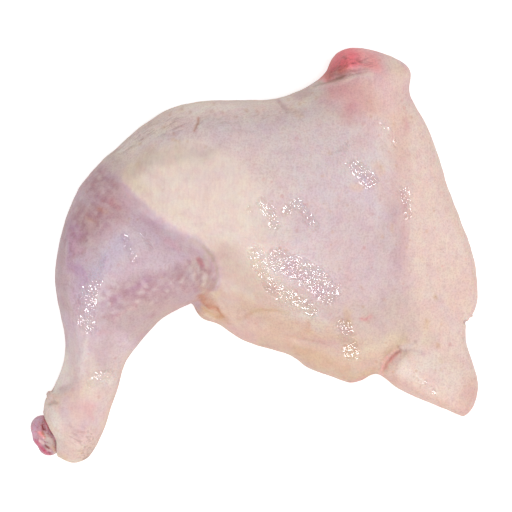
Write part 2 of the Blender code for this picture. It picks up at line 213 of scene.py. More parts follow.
# The lowest dab comes first.
LEG_DABS: tuple[Dab, ...] = (
    # Grounds.
    # The front band's grey mauve is partly its own tone and partly painted shade, where its slope turns from
    # the light.
    Dab(Tone.GREY_MAUVE, FRONT_AREA, 26, 1.0, 1.0, 3.0, True),
    Dab(Tone.CREAM, CREAM_AREA, 22, 1.0, 1.0, 2.0, True),
    Dab(Tone.FAWN, ((128, 176), (142, 190), (166, 210), (200, 228), (224, 250)), 10, 0.6),
    Dab(Tone.MAUVE, DRUMSTICK_AREA, 6, 1.0, 1.0, 2.6, True),
    Dab(Tone.SHELL, SHANK_AREA, 32, 1.0, 1.0, 3.0, True),
    Dab(Tone.SKIN, HEEL_AREA, 20, 1.0, 1.0, 3.0, True),
    Dab(Tone.PEARL, MUSCLE_AREA, 36, 1.0, 1.0, 4.0, True),
    Dab(Tone.SKIN, STRIP_AREA, 34, 1.0, 1.0, 6.0, True),
    Dab(Tone.BUFF, ((228, 258), (242, 274), (258, 290), (286, 300)), 26, 0.8),
    Dab(Tone.ROSY_SAND, ((312, 308), (340, 320), (376, 318), (396, 300)), 30, 0.7, 1.0, 5.0),
    Dab(Tone.PEACH, ((468, 280), (440, 316), (410, 330)), 26, 0.8, 1.0, 5.0),
    Dab(Tone.ROSY_SAND, ((412, 318), (404, 338)), 16, 0.45, 1.0, 4.0),
    Dab(Tone.BISCUIT, FLAP_AREA, 18, 0.85, 1.0, 4.0, True),
    # Front of the knee and thigh.
    Dab(Tone.FAWN, ((112, 158), (128, 144), (150, 128), (172, 118)), 14, 0.8),
    Dab(Tone.CREAM, ((130, 142), (152, 124), (185, 110), (225, 108), (270, 104), (300, 100)), 17, 0.8),
    Dab(Tone.FAT, ((144, 134), (160, 122), (187, 110), (220, 106)), 12, 0.3),
    Dab(Tone.PEARL, ((120, 150), (138, 136), (160, 122)), 10, 0.5, 1.0, 3.0),
    Dab(
        Tone.MILK, ((124, 147), (140, 140), (160, 130), (186, 113), (214, 107), (240, 114)),
        14, 0.6, 1.0, 3.0,
    ),
    Dab(Tone.SAND, ((134, 172), (150, 158), (180, 156), (206, 156)), 14, 0.6, 1.0, 5.0),
    Dab(Tone.DUSTY, ((184, 146), (200, 150), (222, 148)), 12, 0.25),
    # Partly painted shade: greyer along the front slope, which turns from the light.
    Dab(Tone.GREY_MAUVE, ((180, 132), (220, 128), (260, 126), (330, 128)), 12, 0.7),
    Dab(Tone.LILAC, ((222, 130), (250, 128), (276, 132)), 9, 0.3),
    Dab(Tone.BLUSH, ((322, 104), (336, 112), (348, 120)), 13, 0.7),
    Dab(Tone.BEIGE, ((304, 96), (330, 92)), 8, 0.7),
    Dab(Tone.OCHRE, ((292, 110), (300, 116)), 6, 0.3),
    Dab(Tone.DUSKY, ((279, 101), (286, 106), (288, 116)), 3, 0.45, 1.0, 1.5),
    Dab(Tone.ASH, ((318, 112), (346, 116)), 12, 0.5),
    Dab(Tone.PINK, ((158, 128), (196, 118), (240, 112)), 6, 0.3),
    Dab(Tone.RUST, ((198, 119), (197, 123), (194, 130)), 2.2, 0.6, 1.0, 1.2),
    Dab(Tone.OCHRE, ((172, 139), (178, 142)), 3, 0.5, 1.0, 1.0),
    Dab(Tone.OCHRE, ((138, 164),), 7, 0.3),
    Dab(Tone.ASH, ((110, 156), (118, 162), (122, 170)), 8, 0.5),
    Dab(Tone.FAT, ((128, 166), (128, 180), (140, 190)), 7, 0.4),
    # Drumstick.
    Dab(Tone.DUSKY, ((98, 178), (108, 194), (106, 212), (86, 216), (84, 230)), 28, 0.85, 1.0, 5.0),
    Dab(Tone.WINE, ((82, 206), (78, 222), (90, 224), (100, 222)), 12, 0.45, 1.0, 6.0),
    Dab(Tone.WINE, ((94, 196), (104, 202), (112, 200)), 8, 0.4, 1.0, 6.0),
    Dab(Tone.ROSE, ((110, 200), (122, 208), (126, 220)), 13, 0.22, 1.0, 5.0),
    Dab(Tone.WINE, ((112, 186), (120, 196)), 9, 0.25, 1.0, 5.0),
    Dab(Tone.PEARL, ((66, 206), (62, 226)), 8, 0.4),
    Dab(Tone.RUST, ((98, 209), (106, 211)), 4.5, 0.6, 0.9, 1.5),
    Dab(Tone.RUST, ((88, 218), (94, 221)), 4, 0.5, 0.9, 1.5),
    Dab(Tone.CRIMSON, ((112, 204), (118, 208)), 5, 0.18, 0.9, 1.5),
    Dab(Tone.LILAC, ((126, 240), (112, 252), (106, 272), (100, 300), (94, 316)), 20, 0.8, 1.0, 4.0),
    Dab(Tone.LILAC, ((132, 246), (148, 238), (164, 238), (176, 248)), 15, 0.6, 1.0, 4.0),
    Dab(Tone.LAVENDER, ((122, 242), (106, 258), (90, 276), (82, 296)), 14, 0.5, 1.0, 5.0),
    Dab(Tone.LAVENDER, ((86, 258), (78, 276), (76, 296)), 11, 0.35, 1.0, 5.0),
    Dab(Tone.DUSTY, ((66, 226), (61, 250), (60, 280), (65, 310)), 8, 0.8, 1.0, 4.0),
    Dab(Tone.VIOLET, ((75, 230), (73, 252)), 11, 0.75, 1.0, 6.0),
    Dab(Tone.PEARL, ((96, 228), (92, 240)), 9, 0.4, 1.0, 5.0),
    Dab(Tone.PEARL, ((76, 306), (94, 304), (98, 322)), 10, 0.5, 1.0, 4.0),
    Dab(Tone.PEARL, ((94, 296), (112, 301)), 9, 0.5, 1.0, 4.0),
    # Painted light: a pale line inside the calf's edge lifts the shade along its crease.
    Dab(Tone.PEARL, ((140, 226), (154, 234), (172, 240), (192, 252), (206, 265)), 7, 0.42, 1.0, 3.0),
    Dab(Tone.VIOLET, ((72, 262), (80, 280)), 10, 0.6, 1.0, 7.0),
    Dab(Tone.ORCHID, ((72, 240), (80, 250)), 6, 0.4, 1.0, 6.0),
    Dab(Tone.PLUM, ((72, 292), (76, 310)), 8, 0.5, 1.0, 5.0),
    Dab(Tone.DUSTY, ((116, 184), (140, 209), (165, 230)), 9, 0.3, 1.0, 4.0),
    Dab(Tone.DUSKY, ((112, 182), (124, 194), (136, 206)), 8, 0.5, 1.0, 4.0),
    Dab(Tone.LILAC, ((134, 226), (150, 240), (166, 236), (186, 252)), 14, 0.75, 1.0, 5.0),
    Dab(Tone.PLUM, ((142, 219), (160, 229)), 8, 0.35, 1.0, 5.0),
    Dab(Tone.ORCHID, ((164, 241), (180, 248)), 7, 0.35, 1.0, 4.0),
    Dab(Tone.SAND, ((190, 240), (204, 248), (213, 260)), 6, 0.5, 1.0, 3.0),
    Dab(Tone.DUSTY, LOW_CALF_AREA, 16, 1.0, 1.0, 4.0, True),
    Dab(Tone.DUSKY, ((132, 292), (150, 298), (168, 308)), 18, 0.5, 1.0, 6.0),
    Dab(Tone.PLUM, ((124, 292), (138, 284), (152, 278)), 10, 0.4, 1.0, 6.0),
    Dab(Tone.PEARL, ((114, 286), (110, 302)), 9, 0.5, 1.0, 5.0),
    Dab(Tone.SAND, ((124, 318), (146, 306), (172, 300)), 12, 0.35),
    Dab(Tone.VIOLET, ((138, 287), (146, 282)), 9, 0.5, 1.0, 5.0),
    Dab(Tone.VIOLET, ((118, 298), (132, 292)), 8, 0.4, 1.0, 5.0),
    Dab(Tone.DUSKY, ((118, 290), (132, 292), (150, 288), (168, 286), (186, 290)), 5, 0.5, 1.0, 5.0),
    Dab(Tone.ROSE, ((108, 318), (124, 312), (136, 306)), 4, 0.3, 1.0, 5.0),
    Dab(Tone.ROSE, ((98, 333), (108, 331)), 4, 0.35, 1.0, 2.0),
    Dab(Tone.SAND, ((196, 266), (206, 272), (206, 284)), 11, 0.75),
    Dab(Tone.CRIMSON, ((198, 260), (202, 265)), 4.5, 0.5, 0.9, 1.2),
    Dab(Tone.DUSKY, ((188, 262), (181, 278), (186, 290)), 4, 0.6, 0.9, 2.0),
    Dab(Tone.BONE, ((205, 256), (208, 265)), 3.6, 0.9, 0.9, 1.0),
    Dab(Tone.BONE, ((202, 273), (204, 283)), 4.2, 0.9, 0.9, 1.0),
    Dab(Tone.RUST, ((195, 272), (198, 286), (206, 290)), 3, 0.3, 0.9, 1.2),
    # Painted shade: a thin dark line in the crease along the calf's lower edge.
    Dab(Tone.OLIVE, ((203, 247), (211, 255), (217, 266), (218, 278), (212, 288)), 2.6, 0.45, 1.0, 1.0),
    Dab(Tone.DUSKY, ((212, 288), (204, 294), (196, 300)), 4, 0.4, 1.0, 1.5),
    Dab(Tone.WINE, ((151, 317), (155, 314)), 3.2, 0.6, 1.0, 1.0),
    Dab(Tone.SAND, ((130, 340), (150, 324), (170, 310)), 7, 0.35),
    # Shank and heel.
    Dab(Tone.DUSTY, ((108, 322), (106, 344), (102, 362)), 17, 0.75, 1.0, 5.0),
    Dab(Tone.PEARL, ((90, 320), (85, 342), (82, 366)), 10, 0.55, 1.0, 4.0),
    Dab(Tone.ASH, ((114, 352), (112, 368), (106, 384)), 12, 0.5),
    # Painted light: the shank's steep left side is lightened against the shade that falls on it.
    Dab(Tone.PEARL, ((74, 334), (68, 360), (62, 384)), 11, 0.6, 1.0, 4.0),
    Dab(Tone.MILK, ((64, 360), (60, 388)), 12, 1.0, 1.0, 3.0),
    # Painted highlight: a pale patch where the wet film on the shank glints.
    Dab(Tone.MILK, ((96, 380), (110, 380)), 9, 0.6, 1.0, 3.0),
    Dab(Tone.MILK, ((88, 334), (84, 356), (82, 372)), 4.5, 0.4, 1.0, 4.0),
    Dab(Tone.FAT, ((92, 376), (84, 390), (78, 400)), 12, 0.35, 1.0, 4.0),
    Dab(Tone.DUSTY, ((62, 390), (70, 388), (76, 378)), 8, 0.35, 1.0, 4.0),
    Dab(Tone.BLUSH, ((60, 396), (68, 396), (76, 392)), 8, 0.4, 1.0, 4.0),
    Dab(Tone.PINK, ((84, 404), (92, 412), (82, 424)), 14, 0.7),
    Dab(Tone.BLUSH, ((74, 410), (84, 418), (80, 430)), 14, 0.4, 1.0, 4.0),
    Dab(Tone.ROSE, ((86, 408), (92, 414)), 10, 0.2, 1.0, 4.0),
    Dab(Tone.LILAC, ((66, 404), (67, 424)), 9, 0.45, 1.0, 5.0),
    Dab(Tone.PEARL, ((84, 424), (96, 424), (104, 400)), 9, 0.5),
    Dab(Tone.BONE, ((50, 408), (56, 424)), 6, 0.6),
    Dab(Tone.BUFF, ((47, 396), (50, 392)), 5, 0.6, 1.0, 1.5),
    Dab(Tone.BROWN, ((48, 404), (54, 401)), 3.0, 0.35, 1.0, 1.0),
    Dab(Tone.MILK, ((50, 406), (55, 420), (56, 434), (56, 446)), 10, 0.7, 1.0, 2.0),
    Dab(Tone.BUFF, ((70, 452), (78, 454), (90, 452)), 11, 0.5),
    Dab(Tone.FAT, ((58, 456), (66, 460), (78, 461), (88, 459)), 5, 0.5),
    Dab(Tone.OCHRE, ((60, 452), (66, 458)), 4, 0.35),
    Dab(Tone.BROWN, ((84, 459), (89, 457)), 2.6, 0.7, 1.0, 0.6),
    # Thigh.
    Dab(Tone.SHELL, ((190, 172), (225, 176), (250, 164)), 16, 0.6),
    Dab(Tone.SHELL, ((262, 160), (280, 190), (280, 230)), 22, 0.5),
    Dab(Tone.DUSTY, ((292, 206), (304, 216), (300, 230)), 20, 0.28, 1.0, 5.0),
    Dab(Tone.CREAM, ((236, 222), (256, 240)), 15, 0.4),
    Dab(Tone.LAVENDER, ((362, 184), (374, 204)), 18, 0.28, 1.0, 5.0),
    Dab(Tone.LAVENDER, ((318, 186), (330, 194)), 14, 0.2, 1.0, 5.0),
    Dab(Tone.BLUSH, ((396, 196), (402, 226), (400, 256)), 16, 0.8, 1.0, 5.0),
    Dab(Tone.BLUSH, ((396, 128), (398, 160), (402, 190)), 14, 0.5, 1.0, 5.0),
    Dab(Tone.BLUSH, ((376, 182), (388, 200)), 14, 0.5, 1.0, 5.0),
    # Darker, warmer washes over the thigh's lower slopes: partly the skin's tone, partly painted shade.
    Dab(Tone.BISCUIT, ((340, 322), (366, 334), (396, 338)), 15, 0.45, 1.0, 5.0),
    Dab(Tone.ROSY_SAND, ((304, 298), (340, 306), (376, 322), (398, 330)), 30, 0.55, 1.0, 6.0),
    Dab(Tone.ASH, ((262, 222), (276, 240)), 18, 0.4, 1.0, 5.0),
    Dab(Tone.DUSTY, ((392, 208), (398, 240), (398, 268)), 13, 0.4, 1.0, 5.0),
    Dab(Tone.DUSTY, ((306, 282), (340, 290)), 20, 0.3, 1.0, 6.0),
    Dab(Tone.THIGH_PINK, ((346, 214), (374, 240), (386, 276)), 36, 0.55, 1.0, 6.0),
    Dab(Tone.DUSTY, ((388, 214), (384, 240)), 14, 0.3, 1.0, 4.0),
    Dab(Tone.THIGH_PINK, ((286, 266), (304, 276), (318, 290)), 18, 0.6, 1.0, 5.0),
    Dab(Tone.BLUSH, ((330, 250), (356, 286), (350, 300)), 26, 0.35, 1.0, 5.0),
    Dab(Tone.MAUVE, ((316, 284), (336, 300)), 14, 0.35, 1.0, 5.0),
    Dab(Tone.APRICOT, ((224, 300), (250, 304), (280, 306)), 12, 0.35),
    Dab(Tone.LILAC, ((222, 300), (236, 303)), 9, 0.35, 1.0, 3.0),
    Dab(Tone.FAT, ((206, 294), (218, 296)), 6, 0.5),
    Dab(Tone.OCHRE, ((240, 319), (252, 312), (262, 310), (276, 311), (288, 313)), 4, 0.5, 1.0, 2.0),
    Dab(Tone.TAN, ((238, 319), (248, 316)), 3.4, 0.45, 1.0, 1.5),
    Dab(Tone.OCHRE, ((270, 306), (300, 316), (312, 330)), 6, 0.3, 1.0, 2.0),
    Dab(Tone.BLUSH, ((284, 335), (306, 340), (336, 345)), 7, 0.5, 1.0, 3.0),
    Dab(Tone.TAN, ((284, 334), (298, 338), (312, 342)), 2.8, 0.4, 1.0, 2.0),
    Dab(Tone.WINE, ((299, 338), (303, 340)), 2.4, 0.4, 1.0, 1.2),
    # Partly a painted highlight: paler cream where the wet film glints, over the fat's own tone.
    Dab(Tone.CREAM, ((284, 300), (296, 310), (306, 318)), 13, 0.55, 1.0, 4.0),
    Dab(Tone.BONE, ((312, 316), (322, 326)), 12, 0.6),
    Dab(Tone.FAT, ((314, 320), (330, 326)), 8, 0.35, 1.0, 3.0),
    Dab(Tone.OCHRE, ((347, 311), (349, 322)), 6, 0.5, 1.0, 2.5),
    Dab(Tone.TAN, ((308, 322), (308, 330)), 5, 0.4, 1.0, 2.0),
    Dab(Tone.ROSE, ((361, 319), (366, 320), (372, 315)), 3.0, 0.7, 1.0, 1.2),
    Dab(Tone.CRIMSON, ((362, 318), (366, 319)), 2.0, 0.3, 1.0, 0.8),
    Dab(Tone.FAT, ((356, 356), (374, 350), (394, 340)), 11, 0.6),
    Dab(Tone.DUSTY, ((340, 326), (348, 334)), 6, 0.3, 1.0, 3.0),
    # Flap along the lower edge.
    Dab(Tone.PEACH, ((222, 312), (242, 322), (262, 328)), 14, 0.6, 1.0, 4.0),
    Dab(Tone.APRICOT, ((262, 332), (290, 338), (330, 330)), 12, 0.4, 1.0, 5.0),
    Dab(Tone.BEIGE, ((276, 302), (296, 314)), 14, 0.6, 1.0, 4.0),
    Dab(Tone.PINK, ((226, 322), (240, 334), (256, 340)), 7, 0.4),
    Dab(Tone.OCHRE, ((298, 350), (322, 360), (346, 366)), 10, 0.4, 1.0, 4.0),
    Dab(Tone.OCHRE, ((344, 372), (360, 378), (374, 372)), 9, 0.35, 1.0, 3.0),
    Dab(Tone.APRICOT, ((340, 358), (358, 360), (380, 354)), 10, 0.35, 1.0, 4.0),
    Dab(Tone.ROSE, ((318, 374), (340, 382), (352, 384), (364, 378)), 5, 0.45, 1.0, 1.5),
    Dab(Tone.RUST, ((200, 296), (204, 301)), 5, 0.7, 1.0, 1.5),
    Dab(Tone.TAN, ((204, 298), (212, 306), (220, 314), (226, 320)), 7, 0.6, 1.0, 2.5),
    Dab(Tone.RUST, ((206, 304), (214, 308), (222, 316)), 2.6, 0.7, 1.0, 3.0),
    Dab(Tone.OCHRE, ((202, 308), (210, 314), (220, 318)), 5, 0.7, 1.0, 2.0),
    Dab(Tone.FAT, ((206, 315), (214, 319)), 3.4, 0.7, 1.0, 1.0),
    # Tail lobe.
    Dab(Tone.BEIGE, ((404, 346), (420, 338), (434, 340)), 8, 0.5),
    Dab(Tone.CREAM, ((406, 366), (426, 366), (446, 368), (452, 384)), 20, 0.8),
    Dab(Tone.FAT, ((424, 332), (430, 342)), 9, 0.6),
    Dab(Tone.APRICOT, ((392, 350), (404, 342)), 9, 0.5, 1.0, 3.0),
    # Painted shade: a dark band above the lobe's crease, where its skin overlaps the flap.
    Dab(Tone.OLIVE, ((386, 354), (396, 346), (404, 340)), 7, 0.4, 1.0, 2.0),
    Dab(Tone.SALMON, ((382, 374), (386, 364), (396, 356)), 10, 0.5, 1.0, 2.0),
    Dab(Tone.PEACH, ((390, 378), (394, 366), (400, 358)), 6, 0.8, 1.0, 2.0),
    Dab(Tone.CORAL, ((382, 374), (384, 364), (388, 358)), 4, 0.35, 1.0, 2.0),
    Dab(Tone.CORAL, ((386, 368), (392, 360), (400, 351)), 3.4, 0.4, 1.0, 2.0),
    Dab(Tone.RUST, ((384, 372), (388, 362), (396, 354)), 2.2, 0.35, 1.0, 1.5),
    Dab(Tone.CRIMSON, ((391, 359), (394, 356), (399, 352)), 2.0, 0.3, 1.0, 1.0),
    # Painted shade: dark lines in the lobe's creases.
    Dab(Tone.BROWN, ((396, 354), (401, 350), (398, 346)), 2.2, 0.5, 1.0, 0.8),
    Dab(Tone.DUSTY, ((402, 350), (412, 350), (424, 354)), 3, 0.4, 1.0, 1.0),
    Dab(Tone.LILAC, ((402, 346), (410, 346)), 4, 0.3, 1.0, 1.5),
    Dab(Tone.OLIVE, ((436, 362), (448, 358), (462, 366)), 8, 0.12),
    Dab(Tone.BONE, ((464, 340), (467, 330)), 3, 0.5, 1.0, 0.8),
    Dab(Tone.DUSTY, ((467, 322), (469, 340)), 2.4, 0.5, 1.0, 0.6),
    Dab(Tone.SALMON, ((472, 388), (466, 412)), 18, 0.9, 1.0, 3.0),
    Dab(Tone.SALMON, ((396, 380), (430, 398), (462, 414)), 13, 0.7, 1.0, 2.0),
    Dab(Tone.OCHRE, ((435, 297), (437, 299)), 3.4, 0.6, 1.0, 0.8),
    Dab(Tone.OCHRE, ((438, 344), (439, 347)), 3.4, 0.55, 1.0, 0.8),
    Dab(Tone.OCHRE, ((427, 320), (426, 327)), 3.6, 0.35, 1.0, 0.8),
    Dab(Tone.ROSE, ((406, 112), (408, 127)), 4, 0.25, 1.0, 2.0),
    Dab(Tone.PEARL, ((440, 300), (455, 330)), 8, 0.3),
    # Hip stump.
    Dab(Tone.PINK, HIP_AREA, 8, 0.7, 1.0, 3.0, True),
    Dab(Tone.PEACH, ((388, 66), (400, 80), (398, 96)), 15, 0.8),
    Dab(Tone.FAT, ((392, 62), (404, 72)), 8, 0.4),
    Dab(Tone.CORAL, ((344, 62), (354, 50), (370, 52), (376, 64)), 15, 0.8, 1.0, 2.0),
    Dab(Tone.PINK, ((372, 48), (384, 56), (386, 70)), 12, 0.5, 1.0, 2.0),
    Dab(Tone.SKIN, ((384, 56), (392, 64)), 11, 0.5, 1.0, 3.0),
    Dab(
        Tone.FLESH, ((326, 72), (332, 60), (340, 52), (348, 50), (352, 58), (344, 64)),
        16, 0.9, 1.0, 3.0,
    ),
    Dab(Tone.CRIMSON, ((326, 72), (334, 66), (342, 62)), 10, 0.6, 1.0, 3.0),
    Dab(Tone.FLESH, ((346, 64), (358, 62), (368, 65)), 6, 0.5, 1.0, 3.0),
    Dab(Tone.RUST, ((327, 76), (334, 72), (344, 70)), 6, 0.55, 1.0, 2.5),
    Dab(Tone.BLOOD, ((330, 76), (340, 74), (350, 69)), 2.4, 0.5, 1.0, 1.5),
    Dab(Tone.BLOOD, ((329, 72), (338, 69)), 6, 0.35, 1.0, 2.5),
    Dab(Tone.BLOOD, ((330, 72), (340, 70), (348, 66)), 1.6, 0.5, 1.0, 2.0),
    Dab(Tone.BLOOD, ((332, 68), (342, 66), (354, 62)), 1.4, 0.4, 1.0, 2.0),
    Dab(Tone.CRIMSON, ((327, 73), (332, 70), (338, 67)), 5, 0.45, 1.0, 2.0),
    Dab(Tone.BLOOD, ((343, 57), (346, 58)), 2.2, 0.45, 1.0, 0.8),
    Dab(Tone.BLOOD, ((357, 59), (361, 61)), 2.2, 0.45, 1.0, 0.8),
    # Painted shade: a dark mark in a crease at the skin's edge.
    Dab(Tone.BROWN, ((337, 78), (343, 76)), 2.6, 0.8, 1.0, 1.0),
    Dab(Tone.ROSE, ((351, 71), (366, 69)), 2.4, 0.8, 1.0, 0.8),
    Dab(Tone.PEACH, ((352, 74), (372, 74)), 3, 0.6, 1.0, 0.8),
    Dab(Tone.ROSE, ((356, 73), (366, 72)), 1.8, 0.5, 1.0, 0.8),
    Dab(Tone.CREAM, ((312, 88), (320, 86), (332, 85), (344, 81), (354, 77)), 5, 0.85, 1.0, 1.5),
    # Painted shade: a thin dark line in the crease along the skin's edge.
    Dab(Tone.OLIVE, ((320, 84), (334, 82), (342, 78)), 2.0, 0.5, 1.0, 1.2),
    Dab(Tone.BLUSH, ((352, 112), (372, 120), (362, 140)), 18, 0.45, 1.0, 5.0),
    Dab(Tone.ROSE, ((334, 90), (352, 90), (366, 98), (350, 108)), 20, 0.6, 1.0, 5.0),
    Dab(Tone.ROSE, ((350, 94), (364, 98), (372, 106)), 12, 0.3, 1.0, 4.0),
    Dab(Tone.DUSKY, ((298, 97), (308, 93)), 8, 0.5, 1.0, 3.0),
    Dab(Tone.CRIMSON, ((369, 100), (371, 102)), 3, 0.35, 1.0, 0.8),
    Dab(Tone.ROSE, ((404, 120), (407, 126), (406, 134)), 5, 0.5, 1.0, 2.0),
    Dab(Tone.SALMON, ((368, 96), (382, 108), (398, 124), (402, 150)), 20, 0.7, 1.0, 5.0),
    # Painted shade: thin dark lines in the creases along the skin's edge.
    Dab(Tone.BROWN, ((314, 87), (326, 83), (336, 80)), 1.8, 0.4, 1.0, 1.0),
    Dab(Tone.BROWN, ((328, 81), (340, 77), (352, 74)), 1.8, 0.4, 1.0, 1.0),
    Dab(Tone.APRICOT, ((353, 186), (360, 186)), 6, 0.55),
    Dab(Tone.APRICOT, ((378, 166), (380, 172)), 7, 0.5),
    Dab(Tone.OCHRE, ((392, 226), (392, 231)), 3.5, 0.4, 1.0, 1.0),
    Dab(Tone.BROWN, ((415, 342), (416, 343)), 2.2, 0.45, 1.0, 0.5),
    Dab(Tone.BROWN, ((453, 400),), 2.0, 0.45, 1.0, 0.5),
    Dab(Tone.MILK, ((416, 373), (424, 382)), 2.4, 0.5, 1.0, 0.6),
)
PALE_SPOTS: Path = (
    (86, 198), (82, 207), (104, 202), (113, 211), (100, 221), (92, 219), (126, 221), (78, 223),
    (106, 195), (88, 232), (118, 232), (141, 281), (180, 273), (187, 280), (192, 266), (166, 281),
    (124, 295), (197, 281), (130, 308), (150, 300), (160, 292), (174, 290), (186, 292), (140, 318),
    (118, 318), (152, 312), (172, 302),
)
TAN_PORES: Path = (
    (182, 109), (190, 112), (211, 111), (222, 112), (258, 112), (170, 115), (164, 127), (246, 110),
    (236, 118), (330, 153), (316, 212), (330, 210), (407, 247), (382, 237), (436, 298), (439, 345),
    (427, 321), (435, 371), (300, 104), (316, 98), (286, 250), (140, 143), (174, 133), (360, 286),
    (322, 176), (214, 104), (384, 300),
)
SPOT_DABS: tuple[Dab, ...] = (
    *(Dab(Tone.BONE, (spot,), 4.8, 0.24, 1.0, 2.4) for spot in PALE_SPOTS),
    *(Dab(Tone.TAN, (pore,), 3.0, 0.55, 1.0, 1.2) for pore in TAN_PORES),
)
KNUCKLE_DABS: tuple[Dab, ...] = (
    Dab(Tone.ORCHID, ((43, 415), (36, 422), (33, 430), (34, 440), (38, 447)), 5, 0.9, 0.9, 0.6),
    Dab(Tone.LILAC, ((37, 420), (34, 430)), 2.6, 0.4, 0.9, 0.6),
    Dab(Tone.CRIMSON, ((46, 418), (50, 426), (54, 432)), 4.0, 0.6, 0.9, 0.6),
    Dab(Tone.BONE, ((46, 437), (52, 443), (48, 447)), 6.4, 0.9, 0.9, 0.8),
    Dab(Tone.BLOOD, ((43, 426), (45, 430)), 3.4, 0.9, 0.9, 0.5),
    Dab(Tone.CORAL, ((40, 433), (44, 437)), 3.4, 0.8, 0.9, 0.5),
    Dab(Tone.RUST, ((43, 433), (45, 436)), 2.0, 0.7, 0.9, 0.5),
    Dab(Tone.MILK, ((40, 441), (43, 444)), 2.2, 0.6, 0.9, 0.4),
    Dab(Tone.MAGENTA, ((36, 441), (40, 448), (46, 453), (53, 457)), 3.6, 0.95, 0.9, 0.5),
    Dab(Tone.BLOOD, ((45, 446), (49, 448)), 2.4, 0.9, 0.9, 0.4),
    Dab(Tone.BLOOD, ((49, 453), (53, 456)), 2.0, 0.6, 0.9, 0.4),
    Dab(Tone.FAT, ((53, 447), (56, 453)), 3, 0.8, 0.9, 0.4),
)
# Folds of the skin, as paths in the photo's frame, with their depth and half width in mm.
LEG_FOLDS: tuple[Groove, ...] = (
    Groove(((320, 84), (330, 80), (340, 77), (350, 70), (362, 69)), 0.6, 0.7),
    Groove(((334, 82), (344, 78), (352, 74), (366, 72)), 0.35, 0.5),
    Groove(((322, 87), (336, 84), (348, 79), (358, 75)), -0.4, 0.9),
    Groove(((332, 68), (342, 66), (350, 60)), 0.4, 0.8),
    Groove(((352, 56), (358, 61), (370, 62)), 0.35, 0.7),
    Groove(((383, 375), (385, 364), (391, 357), (399, 351), (405, 348)), 0.5, 0.7),
    Groove(((379, 371), (382, 362), (388, 355), (396, 348)), 0.3, 0.6),
    Groove(((381, 374), (383, 364), (389, 357)), -0.35, 0.6),
    Groove(((402, 350), (412, 350), (424, 354)), 0.22, 0.7),
    Groove(((232, 322), (242, 318), (252, 312), (262, 310), (276, 311), (290, 315)), 0.28, 0.9),
    Groove(((282, 334), (298, 338), (314, 342), (336, 347)), 0.3, 1.3),
    Groove(((284, 340), (300, 345), (322, 351)), -0.4, 1.8),
    Groove(((310, 316), (322, 322), (332, 328)), -0.5, 2.6),
    Groove(((336, 318), (346, 322), (352, 332)), 0.35, 1.4),
    Groove(((200, 116), (198, 122), (193, 131)), 0.45, 0.7),
    Groove(((108, 158), (116, 150), (126, 144)), 0.3, 0.6),
    Groove(((118, 156), (130, 148), (142, 143)), 0.3, 0.6),
    Groove(((126, 150), (138, 141), (150, 136)), 0.3, 0.6),
    Groove(((134, 141), (146, 135), (160, 131)), 0.3, 0.6),
    Groove(((150, 140), (166, 134), (180, 134)), 0.25, 0.6),
    Groove(((140, 131), (152, 124), (164, 120)), 0.3, 0.6),
    Groove(((206, 126), (224, 122), (246, 124)), 0.22, 0.7),
    Groove(((214, 131), (236, 129), (262, 131)), 0.2, 0.7),
    Groove(((226, 117), (250, 115), (270, 119)), 0.2, 0.7),
    Groove(((274, 98), (280, 104), (288, 114)), 0.35, 0.9),
    Groove(((94, 377), (102, 373), (113, 372)), -0.45, 0.8),
    Groove(((96, 381), (104, 378), (113, 377)), 0.3, 0.7),
    Groove(((51, 391), (48, 397)), -1.0, 1.7),
    Groove(((46, 405), (54, 402), (60, 403)), 0.6, 0.9),
    Groove(((56, 390), (64, 388), (72, 380)), 0.3, 1.4),
    Groove(((468, 321), (464, 324)), 1.1, 0.9),
    Groove(((472, 314), (470, 317)), -0.6, 0.8),
    Groove(((188, 236), (203, 246), (213, 256), (219, 270), (214, 286)), 0.2, 0.8),
)
KNUCKLE_FOLDS: tuple[Groove, ...] = (
    Groove(((44, 420), (44, 428), (43, 436), (44, 446), (50, 452)), 0.9, 1.0),
    Groove(((48, 434), (52, 440), (51, 446)), -0.5, 1.0),
    Groove(((39, 433), (44, 437)), -0.4, 0.6),
)
WET_PATCHES: tuple[Patch, ...] = (
    Patch(((94, 280), (86, 300), (88, 324)), 17),
    Patch(((122, 237), (130, 250), (134, 262)), 8, 0.8),
    Patch(((143, 236), (152, 250)), 5, 0.7),
    Patch(((104, 256), (100, 268)), 9, 0.8),
    Patch(((262, 202), (270, 210), (274, 224)), 10),
    Patch(((248, 205), (249, 207)), 5),
    Patch(((256, 252), (262, 272), (272, 288)), 15, 0.8),
    Patch(((278, 260), (300, 270), (318, 282), (328, 292)), 22),
    Patch(((282, 296), (308, 308)), 16, 0.75),
    Patch(((344, 326), (352, 352)), 17, 0.7),
    Patch(((354, 166), (370, 180)), 15),
    Patch(((286, 210), (300, 204), (314, 226)), 10, 0.8),
    Patch(((338, 150), (346, 146)), 9, 0.7),
    Patch(((376, 122), (390, 132), (396, 144)), 8, 0.42),
    Patch(((404, 192), (408, 214)), 10),
    Patch(((96, 376), (112, 374)), 9),
    Patch(((90, 384), (106, 381)), 8, 0.8),
    Patch(((412, 368), (436, 392)), 7, 0.5),
)
PEBBLE_PATCHES: tuple[Patch, ...] = (
    Patch(((104, 186), (92, 204), (80, 224), (112, 214)), 30, 0.8),
    Patch(((112, 306), (140, 292), (170, 282), (205, 270)), 32, 0.95),
    Patch(((130, 222), (160, 240), (190, 256)), 20, 0.4),
)
STAIN_PATCHES: tuple[Patch, ...] = (
    Patch(((76, 230), (72, 262), (78, 296)), 20, 0.6),
    Patch(((120, 212), (150, 236), (184, 252)), 18, 0.25),
    Patch(((98, 182), (104, 202), (84, 222), (76, 244)), 26),
    Patch(((112, 300), (140, 290), (170, 282), (202, 272)), 24),
)
PORE_PATCHES: tuple[Patch, ...] = (
    Patch(STRIP_AREA, 6, 1.0, 1.0, 2.0, True),
    Patch(FRONT_AREA, 6, 0.6, 1.0, 2.0, True),
)
